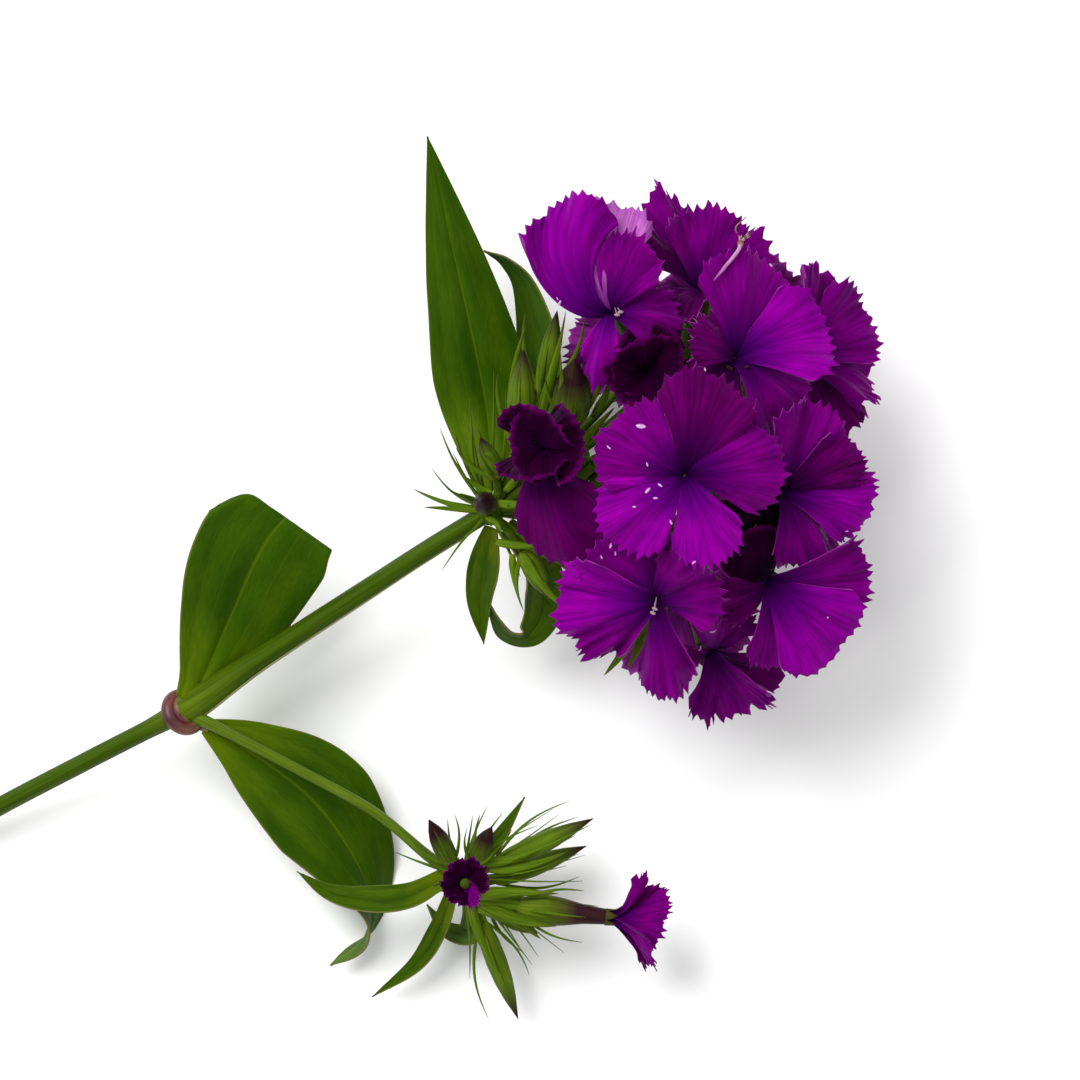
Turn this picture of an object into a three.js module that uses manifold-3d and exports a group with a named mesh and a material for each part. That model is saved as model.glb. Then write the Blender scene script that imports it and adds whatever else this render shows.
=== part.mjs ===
// A cut sweet william, the cluster-flowered carnation, lying on a flat surface. One stem rises from
// its cut end through a swollen joint to a round head of flowers, and a side branch grows from the
// joint and carries a small cluster of its own. +X runs from the cut end towards the head, +Z is up,
// and the origin is under the middle of the plant, on the surface that it lies on.
import * as THREE from "three";
import { mergeVertices } from "three/addons/utils/BufferGeometryUtils.js";
import Module from "manifold-3d";

const wasm = await Module();
wasm.setup();

// Driving dimensions, in millimetres.
const gap = 0.3; // clearance kept between neighbouring pieces
const stemDiameter = 2.8;
const stemBelow = 56; // from the cut end to the joint
const stemAbove = 57; // from the joint to the fork that the head grows from
const branchDiameter = 1.6;
const branchLength = 50; // from the joint to the fork that the side cluster grows from
const pedicelDiameter = 1.3; // the short stalk under each flower and bud
const pedicelBend = 0.38; // the share of its length over which a pedicel turns
const forkDiameter = 4.2; // the knot of tissue where the pedicels leave the stem
const collarLength = 5.4;
const collarWall = 1.2;
const leafThickness = 0.6;
const headRadius = 30; // the reach of the flowers from the head's fork
const clusterRadius = 20; // the reach of the side cluster from its fork
const flowerWidth = 29;
const petalThickness = 0.7;
const petalNotch = 0.3; // how far the gap between two petals cuts in, as a share of the radius
const throatDiameter = 2.6;
const throatDepth = 3.2; // how far the petals reach down inside the calyx
const calyxLength = 14;
const calyxDiameter = 4.6;

// How finely the round and the bent pieces are divided.
const stemSides = 8;
const pedicelSides = 5;
const calyxSides = 8;
const budSides = 8;
const petalSegments = 20;
const leafAcross = 4;
const leafAlong = 10;
const sliver = 0.02; // edges shorter than this are closed up after a cut

const green = { color: 0x41640c, roughness: 0.6, metalness: 0 };
const leafGreen = { color: 0x2f5a10, roughness: 0.5, metalness: 0 };
const budGreen = { color: 0x648c14, roughness: 0.55, metalness: 0 };
const collarPink = { color: 0x73464b, roughness: 0.6, metalness: 0 };
const purple = { color: 0x7d008c, roughness: 0.7, metalness: 0 };
const darkPurple = { color: 0x46003c, roughness: 0.75, metalness: 0 };

const vector = (p) => new THREE.Vector3(...p);

// A smooth route through points chosen by hand, stretched to the length that is asked for.
function route(points, length) {
  const drawn = new THREE.CatmullRomCurve3(points.map(vector));
  const stretch = length / drawn.getLength();
  return new THREE.CatmullRomCurve3(points.map((p) => vector(p).multiplyScalar(stretch)));
}

// Moves every corner of a geometry to where place(corner) puts it.
function reshape(geometry, place) {
  const corners = geometry.getAttribute("position");
  const corner = new THREE.Vector3();
  for (let i = 0; i < corners.count; i++) {
    corner.fromBufferAttribute(corners, i);
    const moved = place(corner);
    corners.setXYZ(i, moved.x, moved.y, moved.z);
  }
  return geometry;
}

// The closed solid of a geometry, with its faces out.
function solidOf(geometry) {
  const bare = geometry.clone();
  bare.deleteAttribute("normal");
  bare.deleteAttribute("uv");
  const merged = mergeVertices(bare, 1e-4);
  const index = merged.index.array;
  const kept = [];
  for (let i = 0; i < index.length; i += 3) {
    const [a, b, c] = index.slice(i, i + 3);
    if (a !== b && b !== c && c !== a) kept.push(a, b, c);
  }
  const build = (triVerts) =>
    new wasm.Manifold(
      new wasm.Mesh({
        numProp: 3,
        vertProperties: new Float32Array(merged.getAttribute("position").array),
        triVerts: new Uint32Array(triVerts),
      }),
    );
  const made = build(kept);
  return made.volume() > 0 ? made : build(kept.reverse());
}

function geometryOf(solid) {
  const mesh = solid.getMesh();
  const corners = new Float32Array(mesh.numVert * 3);
  for (let i = 0; i < mesh.numVert; i++) {
    for (let k = 0; k < 3; k++) corners[3 * i + k] = mesh.vertProperties[mesh.numProp * i + k];
  }
  const geometry = new THREE.BufferGeometry();
  geometry.setAttribute("position", new THREE.BufferAttribute(corners, 3));
  geometry.setIndex(new THREE.BufferAttribute(mesh.triVerts, 1));
  geometry.computeVertexNormals();
  return geometry;
}

// How far the end of a grown piece moves out, along its route.
const endShift = (along, grow) => (along === 1 ? grow : along === 0 ? -grow : 0);

// A round limb along a curve.
function tube(curve, diameter, grow, sides, steps) {
  const frames = curve.computeFrenetFrames(steps);
  const radius = diameter / 2 + grow;
  return solidOf(
    reshape(new THREE.CylinderGeometry(1, 1, 1, sides, steps), (corner) => {
      const along = corner.y + 0.5;
      const step = Math.round(along * steps);
      return curve
        .getPointAt(along)
        .addScaledVector(frames.tangents[step], endShift(along, grow))
        .addScaledVector(frames.normals[step], corner.x * radius)
        .addScaledVector(frames.binormals[step], -corner.z * radius);
    }),
  );
}

const knot = (centre, diameter, grow) =>
  solidOf(new THREE.SphereGeometry(diameter / 2 + grow, stemSides, 6).translate(...centre));

// A leaf blade bent along a curve: narrow at its base, widest at `belly` and pointed at its tip. Its
// upper face follows `ups`, and its two halves rise from the midrib by `trough`.
function blade(curve, { width, ups, belly, base, trough = 0.15 }, grow) {
  const lean = new THREE.CatmullRomCurve3(ups.map(vector));
  const halfWidth = (along) => {
    const before = base + (1 - base) * Math.sin((Math.PI / 2) * Math.min(along / belly, 1));
    const after = Math.max((along - belly) / (1 - belly), 0);
    return (width / 2) * before * Math.max(1 - after ** 2.2, 0.04) + grow;
  };
  const box = new THREE.BoxGeometry(1, 1, 1, leafAcross, 1, leafAlong);
  return solidOf(
    reshape(box, (corner) => {
      const along = corner.z + 0.5;
      const across = 2 * corner.x;
      const tangent = curve.getTangentAt(along);
      const side = lean.getPoint(along).cross(tangent).normalize();
      const up = tangent.clone().cross(side);
      const half = halfWidth(along);
      const thick = leafThickness * (1 - 0.4 * across ** 2) + 2 * grow;
      return curve
        .getPointAt(along)
        .addScaledVector(tangent, endShift(along, grow))
        .addScaledVector(side, across * half)
        .addScaledVector(up, trough * half * across ** 2 + corner.y * thick);
    }),
  );
}

// The calyx: a tube that swells above its foot and narrows to the mouth at y = 0, where it is open
// to hold the throat of the petals.
function calyx(grow) {
  const mouth = throatDiameter / 2 + gap - grow;
  const outer = [
    [0, -1],
    [0.3, -1],
    [0.42, -0.86],
    [0.5, -0.6],
    [0.48, -0.3],
    [0.42, 0],
  ];
  const profile = outer.map(
    ([r, y]) =>
      new THREE.Vector2(r ? r * calyxDiameter + grow : 0, y * calyxLength + (y < -0.9 ? -grow : 0)),
  );
  profile.push(new THREE.Vector2(mouth, 0));
  profile.push(new THREE.Vector2(mouth, -throatDepth));
  profile.push(new THREE.Vector2(0, -throatDepth));
  return solidOf(new THREE.LatheGeometry(profile, calyxSides));
}

// Five petals joined at their throat, opening upwards from y = 0. share is their width against a
// full flower's, and lift is how steeply they rise, in degrees.
function petals({ share, lift }, grow) {
  const radius = (flowerWidth / 2) * share;
  const throat = throatDiameter / 2;
  const rise = Math.tan(THREE.MathUtils.degToRad(lift));
  const steep = 1 / Math.cos(THREE.MathUtils.degToRad(lift));
  const rings = [0.45, 1];
  const height = (w) => gap + rise * radius * w ** 1.3;
  const under = rings.map((w) => new THREE.Vector2(radius * w + grow, height(w) - 1.5 * grow * steep));
  const over = rings.map(
    (w) => new THREE.Vector2(radius * w + grow, height(w) + (petalThickness + 1.5 * grow) * steep),
  );
  const profile = [
    new THREE.Vector2(0, gap - throatDepth),
    new THREE.Vector2(throat, gap - throatDepth),
    new THREE.Vector2(throat, gap - grow),
    ...under,
    ...over.reverse(),
    new THREE.Vector2(0, gap + petalThickness + grow),
  ];
  return solidOf(
    reshape(new THREE.LatheGeometry(profile, petalSegments), (corner) => {
      const reach = Math.hypot(corner.x, corner.z);
      const angle = Math.atan2(corner.z, corner.x);
      const outward = Math.max(reach - throat, 0) / (radius - throat);
      const parting = Math.abs(Math.cos(2.5 * angle)) ** 6;
      const shrink = 1 - petalNotch * outward * parting;
      const ripple = 0.06 * radius * outward ** 2 * Math.sin(5 * angle);
      return new THREE.Vector3(corner.x * shrink, corner.y + ripple, corner.z * shrink);
    }),
  );
}

// A closed bud from its base to its pointed tip, along +Y.
function bud({ length, width }, grow) {
  const outer = [
    [0, 0],
    [0.5, 0],
    [0.92, 0.2],
    [1, 0.42],
    [0.8, 0.68],
    [0.4, 0.88],
    [0, 1],
  ];
  const profile = outer.map(([r, y]) => {
    const end = y === 0 ? -grow : y === 1 ? grow : 0;
    return new THREE.Vector2(r ? (r * width) / 2 + grow : 0, y * length + end);
  });
  return solidOf(new THREE.LatheGeometry(profile, budSides));
}

// Puts a piece in its group. Pieces are placed in the order that they are fitted: each later piece
// is cut back from those already there, which are grown by the gap, and keeps its main body.
const placed = [];
function fit(name, parent, finish, make) {
  const mesh = new THREE.Mesh(new THREE.BufferGeometry(), new THREE.MeshStandardMaterial(finish));
  mesh.name = name;
  parent.add(mesh);
  plant.updateMatrixWorld(true);
  const matrix = mesh.matrixWorld;
  let solid = make(0).transform(matrix.elements);
  const box = solid.boundingBox();
  for (const other of placed) {
    const apart = [0, 1, 2].some((k) => box.max[k] < other.box.min[k] || box.min[k] > other.box.max[k]);
    if (!apart) solid = solid.subtract(other.grown);
  }
  const bodies = solid.simplify(sliver).decompose();
  const main = bodies.reduce((a, b) => (a.volume() > b.volume() ? a : b));
  const grown = make(gap).transform(matrix.elements);
  placed.push({ grown, box: grown.boundingBox() });
  mesh.geometry = geometryOf(main.transform(matrix.clone().invert().elements));
}

const plant = new THREE.Group();

// The two parts of the stem and the side branch, from the joint at the origin.
const lowerStem = route(
  [
    [0, 0, 0],
    [-14.5, -7.6, -4.2],
    [-28.5, -14.9, -8.8],
    [-42, -22.6, -12.4],
    [-49, -26.8, -13.5],
  ],
  stemBelow,
);
const upperStem = route(
  [
    [0, 0, 0],
    [10.5, 7, 3],
    [27, 17.7, 8],
    [37.5, 24.5, 11],
    [46.5, 30, 12],
  ],
  stemAbove,
);
const sideRoute = route(
  [
    [0, 0, 0],
    [4.5, -1.6, 1.2],
    [17.5, -9, -0.3],
    [29, -15.5, -2],
    [37.5, -22.5, -3],
    [42.5, -25.5, -3.5],
  ],
  branchLength,
);
const head = new THREE.Group();
head.position.copy(upperStem.getPoint(1));
plant.add(head);
const cluster = new THREE.Group();
cluster.position.copy(sideRoute.getPoint(1));
plant.add(cluster);

// Where a flower or a bud stands: its foot, and the way it points.
function stance(group, foot, points) {
  const stand = new THREE.Group();
  stand.position.copy(foot);
  stand.quaternion.setFromUnitVectors(new THREE.Vector3(0, 1, 0), points);
  group.add(stand);
  return stand;
}

// Flowers by the place of their mouth from the fork, in reaches of their head or cluster, and the
// way they face. The first are the foremost, and the later ones give way to them.
const flowers = [
  { name: "flower_01", mouth: [0.95, 0.17, 0.8], faces: [0.05, -0.05, 1], share: 1, lift: 6 },
  { name: "flower_02", mouth: [0.82, -0.42, 0.53], faces: [-0.05, -0.4, 0.92], share: 1, lift: 10 },
  { name: "flower_03", mouth: [1.2, 0.75, 0.53], faces: [0.25, 0.3, 0.92], share: 1, lift: 8 },
  { name: "flower_04", mouth: [0.6, 1.05, 0.4], faces: [-0.3, 0.35, 0.88], share: 1.08, lift: 14 },
  { name: "flower_05", mouth: [1.42, 0.1, 0.4], faces: [0.5, 0, 0.86], share: 0.9, lift: 14 },
  { name: "flower_06", mouth: [1.36, -0.34, 0.33], faces: [0.45, -0.4, 0.8], share: 1.06, lift: 8 },
  { name: "flower_07", mouth: [1.05, 1.07, 0.13], faces: [0.1, 0.85, 0.5], share: 1, lift: 22 },
  { name: "flower_08", mouth: [1.5, 0.75, 0.07], faces: [0.75, 0.4, 0.52], share: 1, lift: 12 },
  { name: "flower_09", mouth: [1.09, -0.67, -0.03], faces: [0.15, -0.9, 0.4], share: 0.9, lift: 24 },
  { name: "flower_10", mouth: [0.28, 0.3, 0.53], faces: [-0.4, 0.05, 0.9], share: 0.42, lift: 48 },
  { name: "flower_11", mouth: [0.77, 0.68, 0.33], faces: [0.05, 0.2, 0.97], share: 0.44, lift: 50 },
  { name: "flower_12", mouth: [0.75, 0.83, -0.43], faces: [-0.1, 0.35, -0.93], share: 0.9, lift: 12 },
  { name: "flower_13", mouth: [1.23, 0.92, -0.47], faces: [0.2, 0.6, -0.77], share: 1, lift: 12 },
  { name: "flower_14", mouth: [1.4, 0.17, -0.5], faces: [0.6, 0.05, -0.8], share: 1, lift: 12 },
  { name: "flower_15", mouth: [0.95, -0.4, -0.5], faces: [-0.1, -0.55, -0.83], share: 1, lift: 12 },
].map((flower) => ({ ...flower, group: head, reach: headRadius }));
const sideFlowers = [
  { name: "side_flower_rolled", mouth: [0.03, 0, 0.9], faces: [0.05, 0.03, 1], share: 0.3, lift: 50 },
  { name: "side_flower_open", mouth: [1.1, -0.3, 0.04], faces: [1, -0.1, 0.02], share: 0.53, lift: 46 },
].map((flower) => ({ ...flower, group: cluster, reach: clusterRadius }));

// Buds by their foot and their tip from the fork, in millimetres, and their width.
const headBuds = [
  { name: "head_bud_tall", foot: [4.5, 10.5, 6], tip: [5, 24, 10], width: 4.8 },
  { name: "head_bud_dark", foot: [12, 13, 7], tip: [12.5, 22.5, 13], width: 6.4 },
  { name: "head_bud_behind", foot: [8, 17.5, 0], tip: [10, 30, 3], width: 5.2 },
  { name: "head_bud_slim", foot: [1.2, 5, 4], tip: [-1.5, 11, 7], width: 3.4 },
  { name: "head_bud_facing", foot: [-0.3, 1, 6], tip: [-1.2, 1.5, 14], width: 4.2 },
  { name: "head_bud_low", foot: [5, -6, 4], tip: [9, -13, 7], width: 5.2 },
].map((b) => ({ ...b, group: head, reach: headRadius }));
const sideBuds = [
  { name: "side_bud_dark", foot: [-1.5, 2, 2], tip: [-5, 9, 5], width: 4.6 },
  { name: "side_bud_upright", foot: [1.8, 2.2, 3.5], tip: [4.6, 8, 7], width: 4 },
  { name: "side_bud_long", foot: [4.6, 1.6, 0.8], tip: [20, 9, 1.5], width: 4.2 },
  { name: "side_bud_under", foot: [5, -0.8, -3.6], tip: [19, 4.5, -5.4], width: 3.8 },
  { name: "side_bud_short", foot: [4, -4.2, -5.4], tip: [11.5, -9, -6], width: 4.2 },
  { name: "side_bud_low", foot: [3, -7, -3.4], tip: [8.5, -22, -6], width: 4.8 },
].map((b) => ({ ...b, group: cluster, reach: clusterRadius }));

for (const flower of [...flowers, ...sideFlowers]) {
  flower.points = vector(flower.faces).normalize();
  flower.foot = vector(flower.mouth).multiplyScalar(flower.reach);
  flower.stalkEnd = flower.foot.clone().addScaledVector(flower.points, -(calyxLength + gap));
}
for (const b of [...headBuds, ...sideBuds]) {
  const drawn = b.group === head ? 30 : 20;
  b.foot = vector(b.foot).multiplyScalar(b.reach / drawn);
  b.tip = vector(b.tip).multiplyScalar(b.reach / drawn);
  b.points = b.tip.clone().sub(b.foot).normalize();
  b.stalkEnd = b.foot.clone().addScaledVector(b.points, -gap);
}

// A pedicel leaves the fork at `from` and comes up under its flower or bud in line with it.
function pedicel(from, { stalkEnd, points }, grow) {
  const end = stalkEnd.clone().add(from);
  const bend = end.clone().addScaledVector(points, -pedicelBend * from.distanceTo(end));
  const curve = new THREE.QuadraticBezierCurve3(from, bend, end);
  return tube(curve, pedicelDiameter, grow, pedicelSides, 5);
}

fit("main_stem", plant, green, (grow) => {
  const whole = new THREE.CatmullRomCurve3([
    ...[1, 0.75, 0.5, 0.25].map((t) => lowerStem.getPointAt(t)),
    ...[0, 0.25, 0.5, 0.75, 1].map((t) => upperStem.getPointAt(t)),
  ]);
  let solid = tube(whole, stemDiameter, grow, stemSides, 14);
  solid = solid.add(knot(head.position, forkDiameter, grow));
  for (const one of [...flowers, ...headBuds]) {
    solid = solid.add(pedicel(head.position, one, grow));
  }
  return solid;
});

fit("side_branch", plant, green, (grow) => {
  let solid = tube(sideRoute, branchDiameter, grow, pedicelSides + 2, 10);
  solid = solid.add(knot(cluster.position, forkDiameter, grow));
  for (const one of [...sideFlowers, ...sideBuds]) {
    solid = solid.add(pedicel(cluster.position, one, grow));
  }
  return solid;
});

// The collar is the joined foot of the two stem leaves, round the swollen joint.
const collar = new THREE.Group();
collar.quaternion.setFromUnitVectors(new THREE.Vector3(0, 1, 0), upperStem.getTangentAt(0));
plant.add(collar);
const collarRadius = stemDiameter / 2 + gap + collarWall;
fit("joint_collar", collar, collarPink, (grow) => {
  const half = collarLength / 2;
  const profile = [
    [0, -half],
    [0.75 * collarRadius, -half],
    [collarRadius, -0.4 * half],
    [collarRadius, 0.3 * half],
    [0.8 * collarRadius, half],
    [0, half],
  ];
  const grown = profile.map(([r, y]) => new THREE.Vector2(r ? r + grow : 0, y + Math.sign(y) * grow));
  return solidOf(new THREE.LatheGeometry(grown, stemSides + 2));
});

for (const flower of [...flowers, ...sideFlowers]) {
  flower.stand = stance(flower.group, flower.foot, flower.points);
  fit(flower.name + "_calyx", flower.stand, budGreen, calyx);
}
for (const b of [...headBuds, ...sideBuds]) {
  const size = { length: b.foot.distanceTo(b.tip), width: b.width };
  fit(b.name, stance(b.group, b.foot, b.points), budGreen, (grow) => bud(size, grow));
}
for (const flower of [...flowers, ...sideFlowers]) {
  const finish = flower.lift > 45 ? darkPurple : purple;
  fit(flower.name + "_petals", flower.stand, finish, (grow) => petals(flower, grow));
}

// Leaves by their foot, length, greatest width, route and the way their upper face looks.
const leaves = [
  {
    name: "leaf_folded",
    group: plant,
    foot: [0.9, 2.4, 0.4],
    length: 52,
    width: 19,
    base: 0.3,
    belly: 0.42,
    path: [
      [0, 0, 0],
      [4, 6.8, 4.6],
      [8.8, 15, 10.6],
      [13.4, 23.6, 16],
      [16.4, 28.6, 17.8],
      [18.6, 28, 14.6],
      [18.8, 22.6, 9.8],
      [18.2, 15, 6],
      [17.6, 10, 4],
    ],
    ups: [
      [-0.2, -0.4, 1],
      [-0.2, -0.4, 1],
      [-0.2, -0.3, 1],
      [0.6, 0.9, 0.5],
      [0.4, 0.5, -0.8],
      [0.3, 0.3, -0.9],
    ],
  },
  {
    name: "leaf_curled",
    group: plant,
    foot: [1.4, -2.2, -0.7],
    length: 52,
    width: 16.4,
    base: 0.22,
    belly: 0.45,
    path: [
      [0, 0, 0],
      [8.5, -5.3, -2],
      [17.2, -12.9, -6],
      [23.3, -21.2, -9.4],
      [25.5, -27.7, -11],
      [24.5, -33, -11.4],
      [19.4, -37.4, -11.2],
    ],
    ups: [
      [0, 0.1, 1],
      [0, 0, 1],
      [0.1, 0.1, 1],
      [0.5, 0, 0.8],
      [0.6, -0.5, 0.8],
    ],
  },
  {
    name: "head_leaf_long",
    group: head,
    foot: [0.6, 3.2, -3],
    length: 54,
    width: 13.5,
    base: 0.35,
    belly: 0.33,
    path: [
      [0, 0, 0],
      [-1, 12, -2.4],
      [-3.6, 25, -0.6],
      [-6.8, 39, 1],
      [-10, 53, 1.8],
    ],
    ups: [
      [0.1, 0.1, 1],
      [0.2, 0, 1],
      [0.2, 0, 1],
    ],
  },
  {
    name: "head_leaf_behind",
    group: head,
    foot: [3, 3.4, -4.4],
    length: 42,
    width: 9,
    base: 0.4,
    belly: 0.4,
    path: [
      [0, 0, 0],
      [3.6, 11, -5],
      [4.4, 21, -7.6],
      [2.4, 30.4, -8.6],
      [-0.6, 34.4, -7.6],
      [-4, 36, -5.6],
    ],
    ups: [
      [-0.6, 0.2, 1],
      [-0.7, 0.2, 1],
      [-0.5, -0.6, 1],
      [-0.3, -0.9, 0.8],
    ],
  },
  {
    name: "head_leaf_hanging",
    group: head,
    foot: [0.2, -2.4, -1.4],
    length: 19,
    width: 5.4,
    base: 0.4,
    belly: 0.4,
    path: [
      [0, 0, 0],
      [-0.8, -5, -2.4],
      [-1.8, -11, -5.6],
      [-1.2, -17.6, -8],
    ],
    ups: [
      [-0.4, 0.2, 1],
      [-0.4, 0.2, 1],
      [-0.2, 0.2, 1],
    ],
  },
  {
    name: "head_leaf_strap",
    group: head,
    foot: [2.4, -2.2, -3.4],
    length: 34,
    width: 6.4,
    base: 0.5,
    belly: 0.36,
    path: [
      [0, 0, 0],
      [5, -6, -3.2],
      [5.6, -12.6, -7.6],
      [3.2, -16.6, -9.4],
      [0.2, -16.4, -8.4],
      [-1.6, -14, -5.6],
      [-3, -10.8, -3.4],
    ],
    ups: [
      [0.6, 0.3, 1],
      [0.3, 0.2, 1],
      [-0.2, -0.9, 0.6],
      [-0.5, -0.7, 0.4],
    ],
  },
  {
    name: "side_leaf_broad",
    group: cluster,
    foot: [-2.4, 0.2, -0.6],
    length: 25,
    width: 4.4,
    base: 0.6,
    belly: 0.42,
    path: [
      [0, 0, 0],
      [-5.6, -3, 1.4],
      [-12, -3.6, 1.4],
      [-18, -2.6, -1],
      [-23, 0.4, -3.6],
    ],
    ups: [
      [-0.1, 0.5, 1],
      [0, 0.4, 1],
      [-0.2, 0.3, 1],
    ],
  },
  {
    name: "side_leaf_narrow",
    group: cluster,
    foot: [-1.6, -2.2, -1.2],
    length: 22.5,
    width: 3.2,
    base: 0.6,
    belly: 0.4,
    path: [
      [0, 0, 0],
      [-2, -5.6, -2],
      [-5.6, -11.4, -4.6],
      [-12.4, -16.6, -7],
    ],
    ups: [
      [-0.4, 0.2, 1],
      [-0.3, 0.4, 1],
    ],
  },
  {
    name: "side_leaf_under",
    group: cluster,
    foot: [0.6, -1.6, -2.8],
    length: 17,
    width: 3.8,
    base: 0.5,
    belly: 0.5,
    path: [
      [0, 0, 0],
      [0.8, -4.6, -2.8],
      [0, -7.6, -4.6],
      [-3.4, -6.8, -5.4],
      [-6.2, -3, -4.6],
    ],
    ups: [
      [0, 0.6, 1],
      [0.2, 0.6, 1],
      [0.4, 0.6, 1],
    ],
  },
  {
    name: "side_leaf_upright",
    group: cluster,
    foot: [2, 1.6, -0.4],
    length: 13.5,
    width: 2.6,
    base: 0.6,
    belly: 0.3,
    path: [
      [0, 0, 0],
      [3.6, 4.6, 0.6],
      [7.4, 10.6, 1.6],
    ],
    ups: [
      [-0.3, 0.3, 1],
      [-0.3, 0.3, 1],
    ],
  },
];
for (const leaf of leaves) {
  const curve = route(leaf.path, leaf.length);
  const stand = new THREE.Group();
  stand.position.copy(vector(leaf.foot));
  leaf.group.add(stand);
  fit(leaf.name, stand, leafGreen, (grow) => blade(curve, leaf, grow));
}

// The plant is set down so that the origin is under its middle, on the surface it lies on.
plant.updateMatrixWorld(true);
const bounds = new THREE.Box3().setFromObject(plant, true);
const centre = bounds.getCenter(new THREE.Vector3());
plant.position.set(-centre.x, -centre.y, -bounds.min.z);

export default plant;
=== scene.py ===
import math
import random

import bmesh
import bpy
import numpy as np
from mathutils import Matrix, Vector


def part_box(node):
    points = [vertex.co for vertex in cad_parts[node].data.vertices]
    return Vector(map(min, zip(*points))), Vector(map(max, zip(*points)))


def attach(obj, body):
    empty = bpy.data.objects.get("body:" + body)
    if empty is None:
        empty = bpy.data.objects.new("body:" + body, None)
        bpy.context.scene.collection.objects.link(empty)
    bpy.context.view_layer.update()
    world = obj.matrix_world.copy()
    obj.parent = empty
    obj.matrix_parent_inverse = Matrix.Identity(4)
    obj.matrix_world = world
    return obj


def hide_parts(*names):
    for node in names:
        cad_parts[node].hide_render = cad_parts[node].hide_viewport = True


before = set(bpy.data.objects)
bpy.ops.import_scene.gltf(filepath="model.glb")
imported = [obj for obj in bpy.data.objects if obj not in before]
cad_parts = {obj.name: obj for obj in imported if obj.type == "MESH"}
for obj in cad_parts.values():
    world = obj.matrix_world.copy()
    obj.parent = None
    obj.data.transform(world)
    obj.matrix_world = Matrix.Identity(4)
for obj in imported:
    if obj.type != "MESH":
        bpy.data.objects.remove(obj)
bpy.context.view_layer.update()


# ------------
# Main stem. One green shoot, round and faintly ridged, cut off square at its foot and forked in
# the head into the short stalks that carry the flowers and buds. It grew in one piece, so the
# stalks are joined to it.
MM = 0.001


def unit(vector):
    return np.asarray(vector, float) / np.linalg.norm(vector)


def middle(node):
    low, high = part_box(node)
    return (np.array(low) + np.array(high)) / 2


def smooth_path(points, count):
    """Evenly spaced places on a smooth line through a few points."""
    points = np.array(points, float)
    ends = [2 * points[0] - points[1], *points, 2 * points[-1] - points[-2]]
    dense = []
    for a, b, c, d in zip(ends, ends[1:], ends[2:], ends[3:]):
        for t in np.linspace(0, 1, 24, endpoint=False):
            bend = (2 * a - 5 * b + 4 * c - d) * t**2 + (3 * b - a - 3 * c + d) * t**3
            dense.append(0.5 * (2 * b + (c - a) * t + bend))
    dense = np.array([*dense, points[-1]])
    steps = np.linalg.norm(np.diff(dense, axis=0), axis=1)
    gone = np.r_[0, np.cumsum(steps)]
    stops = np.linspace(0, gone[-1], count)
    return np.stack([np.interp(stops, gone, dense[:, k]) for k in range(3)], axis=1)


def shares(count):
    return np.linspace(0, 1, count)


def tangents_of(path):
    slopes = np.gradient(path, axis=0)
    return slopes / np.linalg.norm(slopes, axis=1)[:, None]


def round_body(path, radii, sides=12, ridges=None, flatten=1, first_side=(0.31, 0.17, 0.93)):
    """Rings round a path. ridges(angle, along) scales the radius, and flatten thins one way."""
    tangents = tangents_of(path)
    side = unit(np.cross(tangents[0], first_side))
    angles = np.linspace(0, 2 * np.pi, sides, endpoint=False)
    rings = []
    for number, (place, tangent, radius) in enumerate(zip(path, tangents, radii)):
        side = unit(side - tangent * (side @ tangent))
        up = np.cross(tangent, side)
        along = number / (len(path) - 1)
        reach = radius * (ridges(angles, along) if ridges else np.ones(sides))
        across = np.outer(reach * np.cos(angles), side)
        rings.append(place + across + np.outer(reach * flatten * np.sin(angles), up))
    return np.array(rings)


def make_piece(name, grids, finishes, nodes=(), thickness=None, back=0):
    """One object from grids of points, which stands for the CAD nodes. With a thickness each grid
    is a thin sheet, its underside finished back places on in the list, and without one it is a
    closed round body. The UV map runs 0 to 1 along a grid, and across it from the grid's own
    number, so that no two grids are streaked alike."""
    wrap = thickness is None
    verts, faces, places = [], [], []
    for number, grid in enumerate(grids):
        rows, cols = grid.shape[:2]
        first = len(verts)
        verts.extend(grid.reshape(-1, 3).tolist())
        span = cols if wrap else cols - 1
        for i in range(rows - 1):
            for j in range(span):
                square = ((i, j), (i, j + 1), (i + 1, j + 1), (i + 1, j))
                faces.append([first + a * cols + b % cols for a, b in square])
                places += [(number + b / span, a / (rows - 1)) for a, b in square]
        if wrap:
            # Its two ends are closed.
            for i, order in ((0, range(cols - 1, -1, -1)), (rows - 1, range(cols))):
                faces.append([first + i * cols + j for j in order])
                places += [(number + j / span, i / (rows - 1)) for j in order]
    mesh = bpy.data.meshes.new(name)
    mesh.from_pydata(verts, [], faces)
    flat = [value for place in places for value in place]
    mesh.uv_layers.new(name="UVMap").data.foreach_set("uv", flat)
    for finish in finishes:
        mesh.materials.append(finish)
    mesh.polygons.foreach_set("use_smooth", [True] * len(faces))
    if wrap:
        cleaned = bmesh.new()
        cleaned.from_mesh(mesh)
        bmesh.ops.recalc_face_normals(cleaned, faces=cleaned.faces)
        cleaned.to_mesh(mesh)
        cleaned.free()
    piece = bpy.data.objects.new(name, mesh)
    bpy.context.scene.collection.objects.link(piece)
    if not wrap:
        skin = piece.modifiers.new("thickness", "SOLIDIFY")
        skin.thickness = thickness
        skin.offset = 0
        skin.material_offset = back
        skin.material_offset_rim = back
    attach(piece, "root")
    if nodes:
        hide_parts(*nodes)
    return piece


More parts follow.
